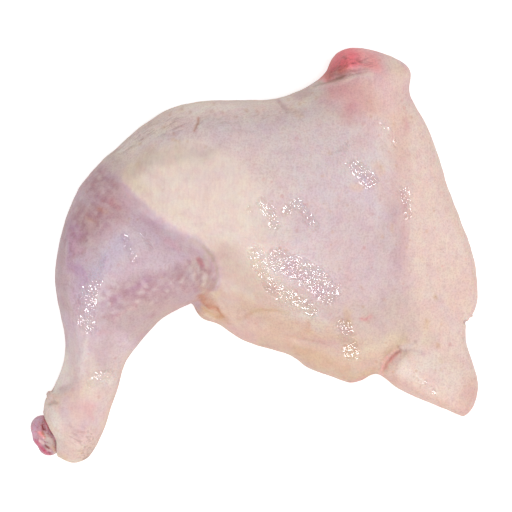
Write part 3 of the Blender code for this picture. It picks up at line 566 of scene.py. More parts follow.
WRINKLE_PATCHES: tuple[Patch, ...] = (
    Patch(((112, 152), (132, 137), (155, 128), (180, 122)), 14),
    Patch(((180, 124), (250, 116), (300, 112)), 12, 0.5),
)
CALM_PATCHES: tuple[Patch, ...] = (
    Patch(CREAM_AREA, 20, 1.0, 1.0, 2.0, True),
    Patch(((80, 350), (80, 430)), 40, 0.6),
    Patch(((230, 326), (300, 352), (350, 372)), 30, 0.6),
)
SCALE_PATCHES: tuple[Patch, ...] = (Patch(((76, 436), (92, 438), (84, 454)), 14),)
FIBRE_PATCHES: tuple[Patch, ...] = (Patch(((332, 72), (342, 60), (372, 60)), 10),)
CRAG_PATCHES: tuple[Patch, ...] = (
    Patch(((202, 298), (212, 308), (226, 320)), 9),
    Patch(((332, 74), (342, 58), (360, 58)), 7, 0.6),
    Patch(((384, 366), (392, 356), (402, 348)), 7, 0.6),
)


def smoothstep(share: np.ndarray) -> np.ndarray:
    """Return an S-curve from 0 to 1 for shares from 0 to 1."""
    held = np.clip(share, 0, 1)
    return held * held * (3 - 2 * held)


def distance_to_path(places: np.ndarray, path: Path, closed: bool = False) -> tuple[np.ndarray, np.ndarray]:
    """Measure how far places are from a path.

    Args:
        places: Rows of two coordinates.
        path: The path's points.
        closed: Whether the path is a filled area, inside which the distance is 0.

    Returns:
        The distances, and how far along the path each nearest point is, from 0 to 1.
    """
    points = np.array(path + (path[:1] if closed else ()), float)
    if len(points) == 1:
        return np.linalg.norm(places - points[0], axis=1), np.full(len(places), 0.5)
    runs = np.diff(points, axis=0)
    lengths = np.linalg.norm(runs, axis=1)
    walked = np.concatenate([[0.0], np.cumsum(lengths)])
    nearest = np.full(len(places), np.inf)
    share = np.zeros(len(places))
    inside = np.zeros(len(places), bool)
    for start, run, length, before in zip(points, runs, lengths, walked):
        away = places - start
        t = np.clip(away @ run / length**2, 0, 1)
        distance = np.linalg.norm(away - t[:, None] * run, axis=1)
        closer = distance < nearest
        nearest[closer] = distance[closer]
        share[closer] = (before + t[closer] * length) / walked[-1]
        if closed:
            end = start + run
            spans = (start[1] > places[:, 1]) != (end[1] > places[:, 1])
            crossing = start[0] + (places[:, 1] - start[1]) / (run[1] or NEARLY_LEVEL) * run[0]
            inside ^= spans & (places[:, 0] < crossing)
    nearest[inside] = 0
    return nearest, share


def field_noise(places: np.ndarray, size: float, octaves: int = 3) -> np.ndarray:
    """Return smooth noise, about -1 to 1, whose lumps are about this size in metres."""
    marks = (Vector(place) / size for place in places)
    return np.array([noise.fractal(mark, NOISE_FADE, NOISE_STEP, octaves) for mark in marks])


def near_tree(targets: np.ndarray) -> kdtree.KDTree:
    """Return a tree that finds the nearest of these targets."""
    tree = kdtree.KDTree(len(targets))
    for index, target in enumerate(targets):
        tree.insert(target, index)
    tree.balance()
    return tree


def nearest_distance(places: np.ndarray, targets: np.ndarray) -> np.ndarray:
    """Return how far each place is from the nearest target."""
    tree = near_tree(targets)
    return np.array([tree.find(place)[2] for place in places])


def fold_depth(seen: np.ndarray, folds: tuple[Groove, ...]) -> np.ndarray:
    """Return how deep the folds sink each vertex, in metres, with their ends run out softly."""
    depth = np.zeros(len(seen))
    for fold in folds:
        distance, share = distance_to_path(seen, fold.path)
        ends = smoothstep(np.minimum(share, 1 - share) / FOLD_RUNOUT)
        depth += fold.depth * MM * ends * np.exp(-((distance * PIXEL / (fold.width * MM)) ** 2))
    return depth


def seen_from_above(places: np.ndarray) -> np.ndarray:
    """Return where places show in the photo's frame, in pixels, for a camera straight above."""
    reach = CAMERA_RISE / (CAMERA_RISE + PLANE_HEIGHT - places[:, 2])
    across = FRAME_PIXELS / 2 + (places[:, 0] - AIM[0]) * reach / PIXEL
    down = FRAME_PIXELS / 2 - (places[:, 1] - AIM[1]) * reach / PIXEL
    return np.column_stack([across, down])


def deselect() -> None:
    """Leave nothing selected."""
    bpy.ops.object.select_all(action="DESELECT")


@dataclass(frozen=True)
class Follicles:
    """Goose bumps, one over each of many follicles that are spread unevenly over the skin.

    Attributes:
        apart: How far the follicles are apart, in metres.
        least_share: How strongly a place has to be pebbled to take a follicle.
        sizes: The smallest and the largest bump's radius, as shares of the distance apart.
        rises: The lowest and the highest bump, as shares of the full height.
        stray: How far the bumps' outlines wander, as a share of the distance apart.
        fullness: How much of a bump reaches its full height, where 1 is only its tip.
        seed: The seed of the random spread.
    """

    apart: float = 3.7 * MM
    least_share: float = 0.05
    sizes: tuple[float, float] = (0.4, 0.8)
    rises: tuple[float, float] = (0.6, 1.1)
    stray: float = 0.4
    fullness: float = 1.3
    seed: int = 7

    def bumps(self, places: np.ndarray, wander: np.ndarray, share: np.ndarray) -> np.ndarray:
        """Raise a bump over each follicle.

        Args:
            places: The vertices' places, in metres.
            wander: Noise in two columns that makes the bumps uneven.
            share: How far each vertex is pebbled, from 0 to 1.

        Returns:
            The bumps' heights, from 0 to 1.
        """
        draw = np.random.default_rng(self.seed)
        chosen = self.spread(places, draw.permutation(np.flatnonzero(share > self.least_share)))
        tree = near_tree(places[chosen])
        size = draw.uniform(*self.sizes, len(chosen)) * self.apart
        rise = draw.uniform(*self.rises, len(chosen))
        strayed = places + np.column_stack([wander, wander[:, 0]]) * self.stray * self.apart
        found = [tree.find(place) for place in strayed]
        heights = [rise[index] * (1 - distance / size[index]) for _, index, distance in found]
        return smoothstep(np.array(heights) * self.fullness) * share

    def spread(self, places: np.ndarray, spots: np.ndarray) -> list[int]:
        """Choose as many of the spots as fit.

        Args:
            places: The vertices' places, in metres.
            spots: The vertices that may hold a follicle, in the order in which they are tried.

        Returns:
            The vertices that hold one.
        """
        chosen: list[int] = []
        taken: dict[tuple[int, ...], list[int]] = {}
        for spot in spots:
            cell = tuple(np.floor(places[spot] / self.apart).astype(int))
            near = [
                other
                for x in (-1, 0, 1) for y in (-1, 0, 1) for z in (-1, 0, 1)
                for other in taken.get((cell[0] + x, cell[1] + y, cell[2] + z), ())
            ]
            if near and np.min(np.linalg.norm(places[near] - places[spot], axis=1)) < self.apart:
                continue
            taken.setdefault(cell, []).append(spot)
            chosen.append(spot)
        return chosen


class Piece:
    """A mesh of the leg quarter that is being modelled and dressed."""

    MERGE_REACH = 1e-6
    RELAX_SHARE = 0.5

    def __init__(self, name: str, node: str) -> None:
        """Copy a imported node's mesh into a new piece.

        Args:
            name: The piece's name.
            node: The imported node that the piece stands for.
        """
        deselect()
        self.thing = bpy.data.objects.new(name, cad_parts[node].data.copy())
        bpy.context.collection.objects.link(self.thing)
        self.node = node
        self.thing.select_set(True)
        bpy.context.view_layer.objects.active = self.thing
        bpy.ops.object.mode_set(mode="EDIT")
        bpy.ops.mesh.select_all(action="SELECT")
        bpy.ops.mesh.remove_doubles(threshold=self.MERGE_REACH)
        bpy.ops.object.mode_set(mode="OBJECT")

    def shape(self, name: str, kind: str, **settings: object) -> None:
        """Put a modifier on the piece and apply it.

        Args:
            name: The modifier's name.
            kind: Its type.
            **settings: Its properties by name.
        """
        bpy.context.view_layer.objects.active = self.thing
        modifier = self.thing.modifiers.new(name, kind)
        for setting, value in settings.items():
            setattr(modifier, setting, value)
        bpy.ops.object.modifier_apply(modifier=modifier.name)

    def refine(self, voxel: float, rounds: int) -> None:
        """Remesh the piece evenly and relax its facets away.

        Args:
            voxel: The size of the new faces, in metres.
            rounds: How many times the surface is relaxed.
        """
        self.shape("fine_skin", "REMESH", mode="VOXEL", voxel_size=voxel)
        self.shape("relaxed", "SMOOTH", iterations=rounds, factor=self.RELAX_SHARE)

    def thin(self, limit: int) -> None:
        """Collapse the flattest faces until the piece holds to its limit.

        Args:
            limit: How many triangles the piece may have.
        """
        self.thing.data.calc_loop_triangles()
        self.shape("thinned", "DECIMATE", ratio=min(1.0, limit / len(self.thing.data.loop_triangles)))

    def read(self, name: str) -> np.ndarray:
        """Return the vertices' places ("co"), in metres, or their normals ("normal")."""
        flat = np.empty(len(self.thing.data.vertices) * 3)
        self.thing.data.vertices.foreach_get(name, flat)
        return flat.reshape(-1, 3)

    def move(self, places: np.ndarray) -> None:
        """Put the vertices at these places, none of them below the table."""
        held = places.copy()
        held[:, 2] = np.maximum(held[:, 2], 0)
        self.thing.data.vertices.foreach_set("co", held.astype(np.float32).ravel())
        self.thing.data.update()

    def write_mask(self, name: str, values: np.ndarray) -> None:
        """Keep one number for each vertex under this name."""
        kept = self.thing.data.attributes.new(name, "FLOAT", "POINT")
        kept.data.foreach_set("value", values.astype(np.float32))

    def write_tint(self, colours: np.ndarray) -> None:
        """Keep one colour for each vertex, as its tint."""
        kept = self.thing.data.color_attributes.new("tint", "FLOAT_COLOR", "POINT")
        opaque = np.column_stack([colours, np.ones(len(colours))])
        kept.data.foreach_set("color", opaque.astype(np.float32).ravel())

    def dress(self, material: bpy.types.Material, slot: str) -> None:
        """Give the piece its finish, and let it stand for its node.

        Args:
            material: The finish.
            slot: A material slot's name, which is not used.
        """
        self.thing.data.materials.clear()
        self.thing.data.materials.append(material)
        self.thing.data.shade_smooth()
        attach(self.thing, BODY)
        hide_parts(self.node)
        LOG.info("%s: %d faces", self.thing.name, len(self.thing.data.polygons))


class Brush:
    """Lays dabs on the vertices of one piece, with edges that wander as marbling does."""

    COARSE = 7.0 * MM
    FINE = 2.2 * MM
    FINE_SHARE = 0.5
    SHIFT = (0.31, 0.17, 0.53)

    def __init__(self, places: np.ndarray, base: Tone) -> None:
        """Start from one tone all over.

        Args:
            places: The vertices' places, in metres.
            base: The tone that shows where no dab lies.
        """
        self.seen = seen_from_above(places)
        self.colours = np.tile(linear(base), (len(places), 1))
        self.wander = np.column_stack([self.waves(places), self.waves(places + np.array(self.SHIFT))])

    def waves(self, places: np.ndarray) -> np.ndarray:
        """Return noise with coarse and fine lumps."""
        return field_noise(places, self.COARSE) + self.FINE_SHARE * field_noise(places, self.FINE, 1)

    def weight(self, patch: Patch) -> np.ndarray:
        """Return how strongly a patch covers each vertex."""
        distance, _ = distance_to_path(self.seen + patch.ragged * self.wander, patch.path, patch.closed)
        return patch.strength * smoothstep((patch.radius - distance) / (patch.radius * patch.soft))

    def lay(self, dabs: tuple[Dab, ...]) -> None:
        """Lay dabs one over another, the lowest first."""
        for dab in dabs:
            self.blend(dab.tone, self.weight(dab.patch))

    def blend(self, tone: Tone, weight: np.ndarray) -> None:
        """Mix one tone in by a weight for each vertex."""
        self.colours += (linear(tone) - self.colours) * weight[:, None]

    def cover(self, patches: tuple[Patch, ...]) -> np.ndarray:
        """Return the strongest weight of any of the patches."""
        return np.max([self.weight(patch) for patch in patches], axis=0)


class Graph:
    """A node tree that is being wired."""

    MIX_LOW, MIX_HIGH, MIX_COLOUR = 6, 7, 2

    def __init__(self, tree: bpy.types.NodeTree) -> None:
        """Keep the tree that nodes are added to."""
        self.tree = tree

    def add(self, kind: str, **settings: object) -> bpy.types.Node:
        """Add a node.

        Args:
            kind: The node's type.
            **settings: Its properties by name.

        Returns:
            The node.
        """
        node = self.tree.nodes.new(kind)
        for name, value in settings.items():
            setattr(node, name, value)
        return node

    def feed(self, node: bpy.types.Node, name: str | int, source: object) -> None:
        """Give one input a link, if the source is a socket, or else a value."""
        if isinstance(source, bpy.types.NodeSocket):
            self.tree.links.new(source, node.inputs[name])
        else:
            node.inputs[name].default_value = source

    def group(self, tree: bpy.types.NodeTree, place: bpy.types.NodeSocket) -> bpy.types.Node:
        """Return a group's node that works on this place."""
        node = self.add("ShaderNodeGroup", node_tree=tree)
        self.feed(node, "Place", place)
        return node

    def sum(self, operation: str, *values: object) -> bpy.types.NodeSocket:
        """Return the result of a Math node on sockets or numbers."""
        node = self.add("ShaderNodeMath", operation=operation)
        for index, value in enumerate(values):
            self.feed(node, index, value)
        return node.outputs[0]

    def mix(self, factor: object, low: object, high: object, blend: str = "MIX") -> bpy.types.NodeSocket:
        """Return two colours mixed by a factor."""
        node = self.add("ShaderNodeMix", data_type="RGBA", blend_type=blend)
        node.clamp_factor = True
        self.feed(node, 0, factor)
        self.feed(node, self.MIX_LOW, low)
        self.feed(node, self.MIX_HIGH, high)
        return node.outputs[self.MIX_COLOUR]

    def toned(self, colour: object, red: float, green: float, blue: float) -> bpy.types.NodeSocket:
        """Return a colour with each of its parts times a factor."""
        return self.mix(1.0, colour, (red, green, blue, 1), "MULTIPLY")

    def span(self, value: object, low: float, high: float) -> bpy.types.NodeSocket:
        """Return a value spread smoothly from 0 at low to 1 at high."""
        node = self.add("ShaderNodeMapRange", interpolation_type="SMOOTHSTEP")
        self.feed(node, "Value", value)
        self.feed(node, "From Min", low)
        self.feed(node, "From Max", high)
        return node.outputs["Result"]

    def noise(
        self, place: object, size: float, detail: float = 2.0, rough: float = 0.5, output: str = "Fac"
    ) -> bpy.types.NodeSocket:
        """Return one output of noise whose lumps are this size in metres."""
        node = self.add("ShaderNodeTexNoise")
        self.feed(node, "Vector", place)
        self.feed(node, "Scale", 1 / size)
        self.feed(node, "Detail", detail)
        self.feed(node, "Roughness", rough)
        return node.outputs[output]

    def cells(self, place: object, size: float) -> bpy.types.Node:
        """Return a Voronoi texture whose cells are this size in metres."""
        node = self.add("ShaderNodeTexVoronoi")
        self.feed(node, "Vector", place)
        self.feed(node, "Scale", 1 / size)
        return node

    def parts(self, colour: object) -> bpy.types.NodeOutputs:
        """Return the three parts of a colour."""
        node = self.add("ShaderNodeSeparateColor")
        self.feed(node, 0, colour)
        return node.outputs

    def grain(self, place: object, stretch: float, turn: float) -> bpy.types.NodeSocket:
        """Return a place whose patterns come out drawn along one direction.

        Args:
            place: The place.
            stretch: How many times longer than wide the patterns are.
            turn: The direction in degrees from +X, seen from above.
        """
        node = self.add("ShaderNodeMapping", vector_type="TEXTURE")
        self.feed(node, "Vector", place)
        self.feed(node, "Rotation", (0, 0, math.radians(turn)))
        self.feed(node, "Scale", (stretch, 1, 1))
        return node.outputs[0]

    def scaled(self, place: object, factor: object) -> bpy.types.NodeSocket:
        """Return a place times a factor."""
        node = self.add("ShaderNodeVectorMath", operation="SCALE")
        self.feed(node, 0, place)
        self.feed(node, "Scale", factor)
        return node.outputs[0]

    def mask(self, name: str) -> bpy.types.NodeSocket:
        """Return the number kept under this name at each vertex."""
        return self.add("ShaderNodeAttribute", attribute_name=name).outputs["Fac"]

    def raise_relief(self, shader: bpy.types.Node, height: bpy.types.NodeSocket, depth: float) -> None:
        """Give a shader relief from a height whose full step is this depth in metres."""
        relief = self.add("ShaderNodeBump")
        self.feed(relief, "Distance", depth)
        self.feed(relief, "Height", height)
        self.feed(shader, "Normal", relief.outputs[0])


@dataclass(frozen=True)
class Effect:
    """A node group that several finishes share."""

    name: str
    inputs: tuple[str, ...]
    outputs: tuple[str, ...]

    def start(self) -> tuple[Graph, bpy.types.Node, bpy.types.Node]:
        """Return an empty group's graph with its input and output nodes."""
        tree = bpy.data.node_groups.new(self.name, "ShaderNodeTree")
        tree.interface.new_socket("Place", in_out="INPUT", socket_type="NodeSocketVector")
        for name in self.inputs:
            tree.interface.new_socket(name, in_out="INPUT", socket_type="NodeSocketFloat")
        for name in self.outputs:
            tree.interface.new_socket(name, in_out="OUTPUT", socket_type="NodeSocketFloat")
        graph = Graph(tree)
        return graph, graph.add("NodeGroupInput"), graph.add("NodeGroupOutput")


def marbling_effect() -> bpy.types.NodeTree:
    """Return the group that breaks a flat tone into cloudy mottles, blotches, streaks, grain and specks."""
    names = ("Cloud", "Cool", "Blotch", "Streak", "Grain", "Speck", "Kind")
    graph, source, target = Effect("marbling", (), names).start()
    place = source.outputs["Place"]
    shades = graph.parts(graph.noise(place, 6 * MM, detail=4.0, rough=0.6, output="Color"))
    graph.feed(target, "Cloud", shades[0])
    graph.feed(target, "Cool", shades[1])
    graph.feed(target, "Blotch", graph.noise(place, 3.6 * MM, detail=3.0, rough=0.6))
    graph.feed(target, "Streak", graph.noise(graph.grain(place, 6, 88), 0.9 * MM))
    graph.feed(target, "Grain", graph.noise(place, 0.75 * MM, rough=0.6))
    speck = graph.cells(place, 3.4 * MM)
    chance, size, kind = graph.parts(speck.outputs["Color"])
    reach = graph.sum("MULTIPLY_ADD", size, 0.16, 0.08)
    inside = graph.span(graph.sum("DIVIDE", speck.outputs["Distance"], reach), 1.6, 0.6)
    graph.feed(target, "Speck", graph.sum("MULTIPLY", inside, graph.span(chance, 0.5, 0.8)))
    graph.feed(target, "Kind", kind)
    return graph.tree


def pore_effect() -> bpy.types.NodeTree:
    """Return the group that gives the fine pores' rims and the dark dot in each one's middle."""
    graph, source, target = Effect("pores", ("Spacing",), ("Rim", "Dot")).start()
    place = source.outputs["Place"]
    warp = graph.scaled(graph.noise(place, 4 * MM, detail=1.0, output="Color"), 2.2 * MM)
    shifted = graph.add("ShaderNodeVectorMath", operation="ADD")
    graph.feed(shifted, 0, place)
    graph.feed(shifted, 1, warp)
    apart = graph.scaled(shifted.outputs[0], graph.sum("DIVIDE", MM, source.outputs["Spacing"]))
    distance = graph.cells(apart, MM).outputs["Distance"]
    graph.feed(target, "Rim", graph.span(distance, 0.68, 0.16))
    graph.feed(target, "Dot", graph.span(distance, 0.22, 0.06))
    return graph.tree


@dataclass(frozen=True)
class Finish:
    """What the finishes share: a body that light goes into, marbled and painted.

    Attributes:
        name: The material's name.
        roughness: How matt the surface is at its driest.
        subsurface: The share of light that goes into it.
        depth: How far that light goes, in metres.
    """

    name: str
    roughness: float
    subsurface: float
    depth: float

    def start(self) -> tuple[bpy.types.Material, Graph, bpy.types.Node, bpy.types.NodeSocket]:
        """Return a new material, its graph, its shader and the place on the object."""
        made = bpy.data.materials.new(self.name)
        made.use_nodes = True
        graph = Graph(made.node_tree)
        shader = made.node_tree.nodes["Principled BSDF"]
        shader.inputs["Subsurface Weight"].default_value = self.subsurface
        shader.inputs["Subsurface Scale"].default_value = self.depth
        return made, graph, shader, graph.add("ShaderNodeTexCoord").outputs["Object"]


@dataclass(frozen=True)
class HideFinish(Finish):
    """Moist raw skin: painted tones, mottled and pored, over translucent flesh.

    Attributes:
        film: How rough the wet film is.
        film_edge: The film's measure at which it begins, and that at which it is whole.
        film_patchiness: How far the blotches break the film up.
        gleam: How strongly the skin mirrors, where 0.5 is usual.
        pores: How far apart the fine pores are, in metres.
        grain_depth: How deep the fine grain is, in mm.
    """

    name: str = "raw_hide"
    roughness: float = 0.46
    subsurface: float = 0.15
    depth: float = 2.0 * MM
    film: float = 0.085
    film_edge: tuple[float, float] = (0.95, 1.1)
    film_patchiness: float = 1.1
    gleam: float = 1.0
    pores: float = 2.2 * MM
    grain_depth: float = 0.12

    def material(self, marbling: bpy.types.NodeTree, pores: bpy.types.NodeTree) -> bpy.types.Material:
        """Build the finish.

        Args:
            marbling: The mottling effect.
            pores: The pore effect.

        Returns:
            The material.
        """
        made, graph, shader, place = self.start()
        shader.inputs["Specular IOR Level"].default_value = self.gleam
        marble = graph.group(marbling, place)
        fine = graph.group(pores, place)
        fine.inputs["Spacing"].default_value = self.pores
        lines = {
            "wrinkled": graph.noise(graph.grain(place, 6, 27), 0.9 * MM, rough=0.6),
            "scaly": graph.noise(graph.grain(place, 4, -30), 1.0 * MM, detail=1.0),
            "fibrous": graph.noise(graph.grain(place, 9, 20), 0.9 * MM, rough=0.6),
        }
        ripples = graph.noise(graph.grain(place, 3.2, -50), 0.66 * MM, detail=0.0)
        swells = graph.noise(place, 1.9 * MM, detail=0.0)

        graph.feed(shader, "Base Color", self.colour(graph, marble, fine, lines))
        matt = graph.sum("MULTIPLY_ADD", marble.outputs["Blotch"], -0.12, self.roughness)
        film = graph.sum("MULTIPLY_ADD", marble.outputs["Blotch"], self.film_patchiness, graph.mask("wet"))
        drier = graph.sum("SUBTRACT", 1.0, graph.span(film, *self.film_edge))
        graph.feed(shader, "Roughness", graph.sum("MULTIPLY_ADD", drier, matt, self.film))

        # Each pattern, the mask that says where it lies, and its depth in mm.
        layers = (
            (fine.outputs["Rim"], "pored", 0.06),
            (lines["wrinkled"], "wrinkled", 0.6),
            (lines["scaly"], "scaly", 0.7),
            (lines["fibrous"], "fibrous", 0.4),
            (ripples, "wet", 0.31),
            (swells, "wet", 0.42),
        )
        # The middle of each pattern is taken off, or else the edge of its mask would be a step.
        rough = graph.sum("SUBTRACT", marble.outputs["Grain"], 0.5)
        height = graph.sum("MULTIPLY", rough, graph.sum("MULTIPLY", drier, self.grain_depth))
        for pattern, mask, depth in layers:
            level = graph.sum("SUBTRACT", pattern, 0.5)
            masked = graph.sum("MULTIPLY", level, graph.mask(mask))
            height = graph.sum("MULTIPLY_ADD", masked, depth, height)
        graph.raise_relief(shader, height, MM)
        return made

    def colour(
        self,
        graph: Graph,
        marble: bpy.types.Node,
        fine: bpy.types.Node,
        lines: dict[str, bpy.types.NodeSocket],
    ) -> bpy.types.NodeSocket:
        """Return the painted tones with mottles, specks and follicles on them, and painted shade in the
        furrows of the line patterns.

        Args:
            graph: The material's graph.
            marble: The mottling node.
            fine: The pore node.
            lines: The line patterns, by the masks that say where they lie.

        Returns:
            The colour.
        """
        cloud, cool, blotch, streaky, grain, specks, kind = marble.outputs
        colour = graph.add("ShaderNodeAttribute", attribute_name="tint").outputs["Color"]
        pinker = graph.toned(colour, 1.0, 0.945, 0.96)
        creamier = graph.toned(colour, 1.01, 1.03, 0.99)
        colour = graph.mix(graph.span(cloud, 0.38, 0.62), pinker, creamier)
        cooler = graph.toned(colour, 0.985, 0.98, 1.01)
        warmer = graph.toned(colour, 1.015, 1.005, 0.985)
        colour = graph.mix(graph.span(cool, 0.38, 0.62), cooler, warmer)
        colour = graph.mix(graph.span(blotch, 0.5, 0.3), colour, graph.toned(colour, 0.95, 0.92, 0.92))
        lively = graph.sum("MULTIPLY_ADD", graph.mask("calm"), -0.7, 1.0)
        deep = graph.sum("MULTIPLY", graph.span(grain, 0.6, 0.3), lively)
        colour = graph.mix(deep, colour, graph.toned(colour, 0.88, 0.83, 0.83))
        darker = graph.toned(colour, 0.975, 0.965, 0.97)
        lighter = graph.toned(colour, 1.015, 1.02, 1.015)
        colour = graph.mix(graph.span(streaky, 0.36, 0.66), darker, lighter)
        ochre = graph.toned(colour, 0.93, 0.83, 0.72)
        ruddy = graph.toned(colour, 0.95, 0.78, 0.78)
        speckled = graph.mix(graph.span(kind, 0.45, 0.55), ochre, ruddy)
        specks = graph.sum("MULTIPLY", specks, 0.8)
        colour = graph.mix(graph.sum("MULTIPLY", specks, lively), colour, speckled)
        net = graph.toned(colour, 0.87, 0.77, 0.82)
        pale = graph.mix(0.25, colour, (0.76, 0.68, 0.64, 1))
        pebbles = graph.mix(graph.mask("goose"), net, pale)
        colour = graph.mix(graph.mask("pebbled"), colour, pebbles)
        dots = graph.sum("MULTIPLY", fine.outputs["Dot"], graph.mask("pored"))
        colour = graph.mix(dots, colour, graph.toned(colour, 0.9, 0.83, 0.8))
        # Painted shade: each line pattern is darkened in its furrows, where its relief is lowest.
        for mask, pattern in lines.items():
            share = graph.sum("MULTIPLY", graph.span(pattern, 0.52, 0.36), graph.mask(mask))
            furrow_shade = graph.toned(colour, 0.76, 0.67, 0.67)
            colour = graph.mix(graph.sum("MULTIPLY", share, 0.8), colour, furrow_shade)
        return colour


@dataclass(frozen=True)
class GristleFinish(Finish):
    """Glossy wet gristle and raw flesh at the cut end of the bone."""

    name: str = "wet_gristle"
    roughness: float = 0.3
    subsurface: float = 0.25
    depth: float = 1.2 * MM

    def material(self, marbling: bpy.types.NodeTree) -> bpy.types.Material:
        """Build the finish.

        Args:
            marbling: The mottling effect.

        Returns:
            The material.
        """
        made, graph, shader, place = self.start()
        marble = graph.group(marbling, place)
        tint = graph.add("ShaderNodeAttribute", attribute_name="tint").outputs["Color"]
        cloud = graph.span(marble.outputs["Cloud"], 0.36, 0.64)
        colour = graph.mix(cloud, graph.toned(tint, 0.96, 0.86, 0.88), tint)
        veins = graph.span(graph.noise(place, 1.1 * MM, rough=0.6), 0.56, 0.66)
        colour = graph.mix(veins, colour, graph.toned(colour, 0.84, 0.6, 0.64))
        pale = graph.mix(0.3, colour, (0.86, 0.76, 0.74, 1))
        colour = graph.mix(graph.span(marble.outputs["Grain"], 0.55, 0.7), colour, pale)
        graph.feed(shader, "Base Color", colour)
        graph.feed(shader, "Roughness", graph.sum("MULTIPLY", marble.outputs["Blotch"], self.roughness))
        graph.raise_relief(shader, graph.noise(place, 1.0 * MM, rough=0.6), 0.6 * MM)
        return made


@dataclass(frozen=True)
class Unevenness:
    """Smooth random relief.

    Attributes:
        size: How far apart its lumps are, in metres.
        depth: How deep they are, in metres.
    """

    size: float
    depth: float

    def rise(self, places: np.ndarray) -> np.ndarray:
        """Return how far it lifts each vertex, in metres."""
        return self.depth * field_noise(places, self.size, 2)


@dataclass
class LegQuarter:
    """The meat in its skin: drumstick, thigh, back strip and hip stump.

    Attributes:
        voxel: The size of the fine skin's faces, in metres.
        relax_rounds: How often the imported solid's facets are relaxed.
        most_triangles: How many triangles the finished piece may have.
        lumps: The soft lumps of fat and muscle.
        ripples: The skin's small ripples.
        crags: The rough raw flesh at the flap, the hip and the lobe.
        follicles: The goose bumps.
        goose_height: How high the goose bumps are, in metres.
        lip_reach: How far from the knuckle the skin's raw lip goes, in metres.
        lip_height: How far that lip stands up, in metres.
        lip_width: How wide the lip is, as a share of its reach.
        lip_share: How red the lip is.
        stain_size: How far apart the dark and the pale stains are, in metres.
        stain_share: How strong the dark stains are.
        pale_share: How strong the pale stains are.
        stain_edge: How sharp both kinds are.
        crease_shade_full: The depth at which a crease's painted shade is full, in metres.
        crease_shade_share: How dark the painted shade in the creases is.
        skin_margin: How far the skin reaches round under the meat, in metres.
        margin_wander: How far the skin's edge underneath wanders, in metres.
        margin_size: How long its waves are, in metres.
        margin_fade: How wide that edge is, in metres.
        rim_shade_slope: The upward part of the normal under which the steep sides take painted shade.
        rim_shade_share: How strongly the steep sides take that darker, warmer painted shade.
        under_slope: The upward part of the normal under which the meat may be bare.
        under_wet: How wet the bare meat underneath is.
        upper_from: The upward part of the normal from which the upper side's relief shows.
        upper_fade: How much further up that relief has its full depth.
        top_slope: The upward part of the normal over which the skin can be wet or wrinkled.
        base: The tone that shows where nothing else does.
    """

    voxel: float = 0.63 * MM
    relax_rounds: int = 26
    most_triangles: int = 196000
    lumps: Unevenness = Unevenness(11 * MM, 0.25 * MM)
    ripples: Unevenness = Unevenness(3.2 * MM, 0.07 * MM)
    crags: Unevenness = Unevenness(2.6 * MM, 0.55 * MM)
    follicles: Follicles = Follicles()
    goose_height: float = 0.13 * MM
    lip_reach: float = 1.7 * MM
    lip_height: float = 0.4 * MM
    lip_width: float = 0.5
    lip_share: float = 0.8
    stain_size: float = 2.6 * MM
    stain_share: float = 0.55
    pale_share: float = 0.33
    stain_edge: float = 2.2
    crease_shade_full: float = 0.6 * MM
    crease_shade_share: float = 0.32
    skin_margin: float = 13 * MM
    margin_wander: float = 4 * MM
    margin_size: float = 12 * MM
    margin_fade: float = 1.5 * MM
    rim_shade_slope: float = 0.55
    rim_shade_share: float = 0.35
    under_slope: float = -0.2
    under_wet: float = 0.5
    upper_from: float = -0.45
    upper_fade: float = 0.25
    top_slope: float = -0.3
    base: Tone = Tone.SHELL

    def __post_init__(self) -> None:
        """Find where the bare knuckle is."""
        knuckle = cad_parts["hock_knuckle"].data
        self.knuckle_places = np.array([vertex.co[:] for vertex in knuckle.vertices])

    def build(self) -> Piece:
        """Return the finished mesh with its tones and masks."""
        piece = Piece("meat_in_skin", "leg_quarter")
        piece.refine(self.voxel, self.relax_rounds)
        places, normals = piece.read("co"), piece.read("normal")
        brush = Brush(places, self.base)
        upper = smoothstep((normals[:, 2] - self.upper_from) / self.upper_fade)
        pebbled = brush.cover(PEBBLE_PATCHES) * upper
        goose = self.follicles.bumps(places, brush.wander, pebbled)
        socket = nearest_distance(places, self.knuckle_places)
        lip = np.exp(-(((socket - self.lip_reach) / (self.lip_width * self.lip_reach)) ** 2))
        rise = self.lumps.rise(places)
        rise += self.ripples.rise(places)
        rise += self.crags.rise(places) * brush.cover(CRAG_PATCHES)
        rise += self.goose_height * goose
        rise += self.lip_height * lip
        rise -= fold_depth(brush.seen, LEG_FOLDS) * upper
        piece.move(places + normals * rise[:, None])
        piece.write_mask("goose", goose)
        piece.write_mask("pebbled", pebbled)
        self.paint(piece, brush, socket)
        piece.thin(self.most_triangles)
        return piece

    def bare_under(self, places: np.ndarray, facing: np.ndarray) -> np.ndarray:
        """Return how far each vertex belongs to the bare meat underneath, from 0 to 1.

        Args:
            places: The vertices' places, in metres.
            facing: The upward part of their normals.
        """
        inward = nearest_distance(places, places[np.abs(facing) < UPRIGHT])
        wander = field_noise(places, self.margin_size) * self.margin_wander
        share = smoothstep((inward + wander - self.skin_margin) / self.margin_fade)
        return share * (facing < self.under_slope)

    def paint(self, piece: Piece, brush: Brush, socket: np.ndarray) -> None:
        """Lay the tones and masks on the mesh.

        Args:
            piece: The mesh.
            brush: The brush over its vertices.
            socket: How far each vertex is from the knuckle, in metres.
        """
        places, facing = piece.read("co"), piece.read("normal")[:, 2]
        brush.lay(LEG_DABS)
        stain = field_noise(places, self.stain_size, 2) * brush.cover(STAIN_PATCHES) * self.stain_edge
        brush.blend(Tone.WINE, self.stain_share * smoothstep(stain))
        brush.blend(Tone.PEARL, self.pale_share * smoothstep(-stain))
        brush.lay(SPOT_DABS)
        # Painted shade: the creases are darkened by how deep they are, on the upper side.
        sunk_shade = smoothstep(fold_depth(brush.seen, LEG_FOLDS) / self.crease_shade_full)
        brush.blend(Tone.UMBER, self.crease_shade_share * sunk_shade * (facing > 0))
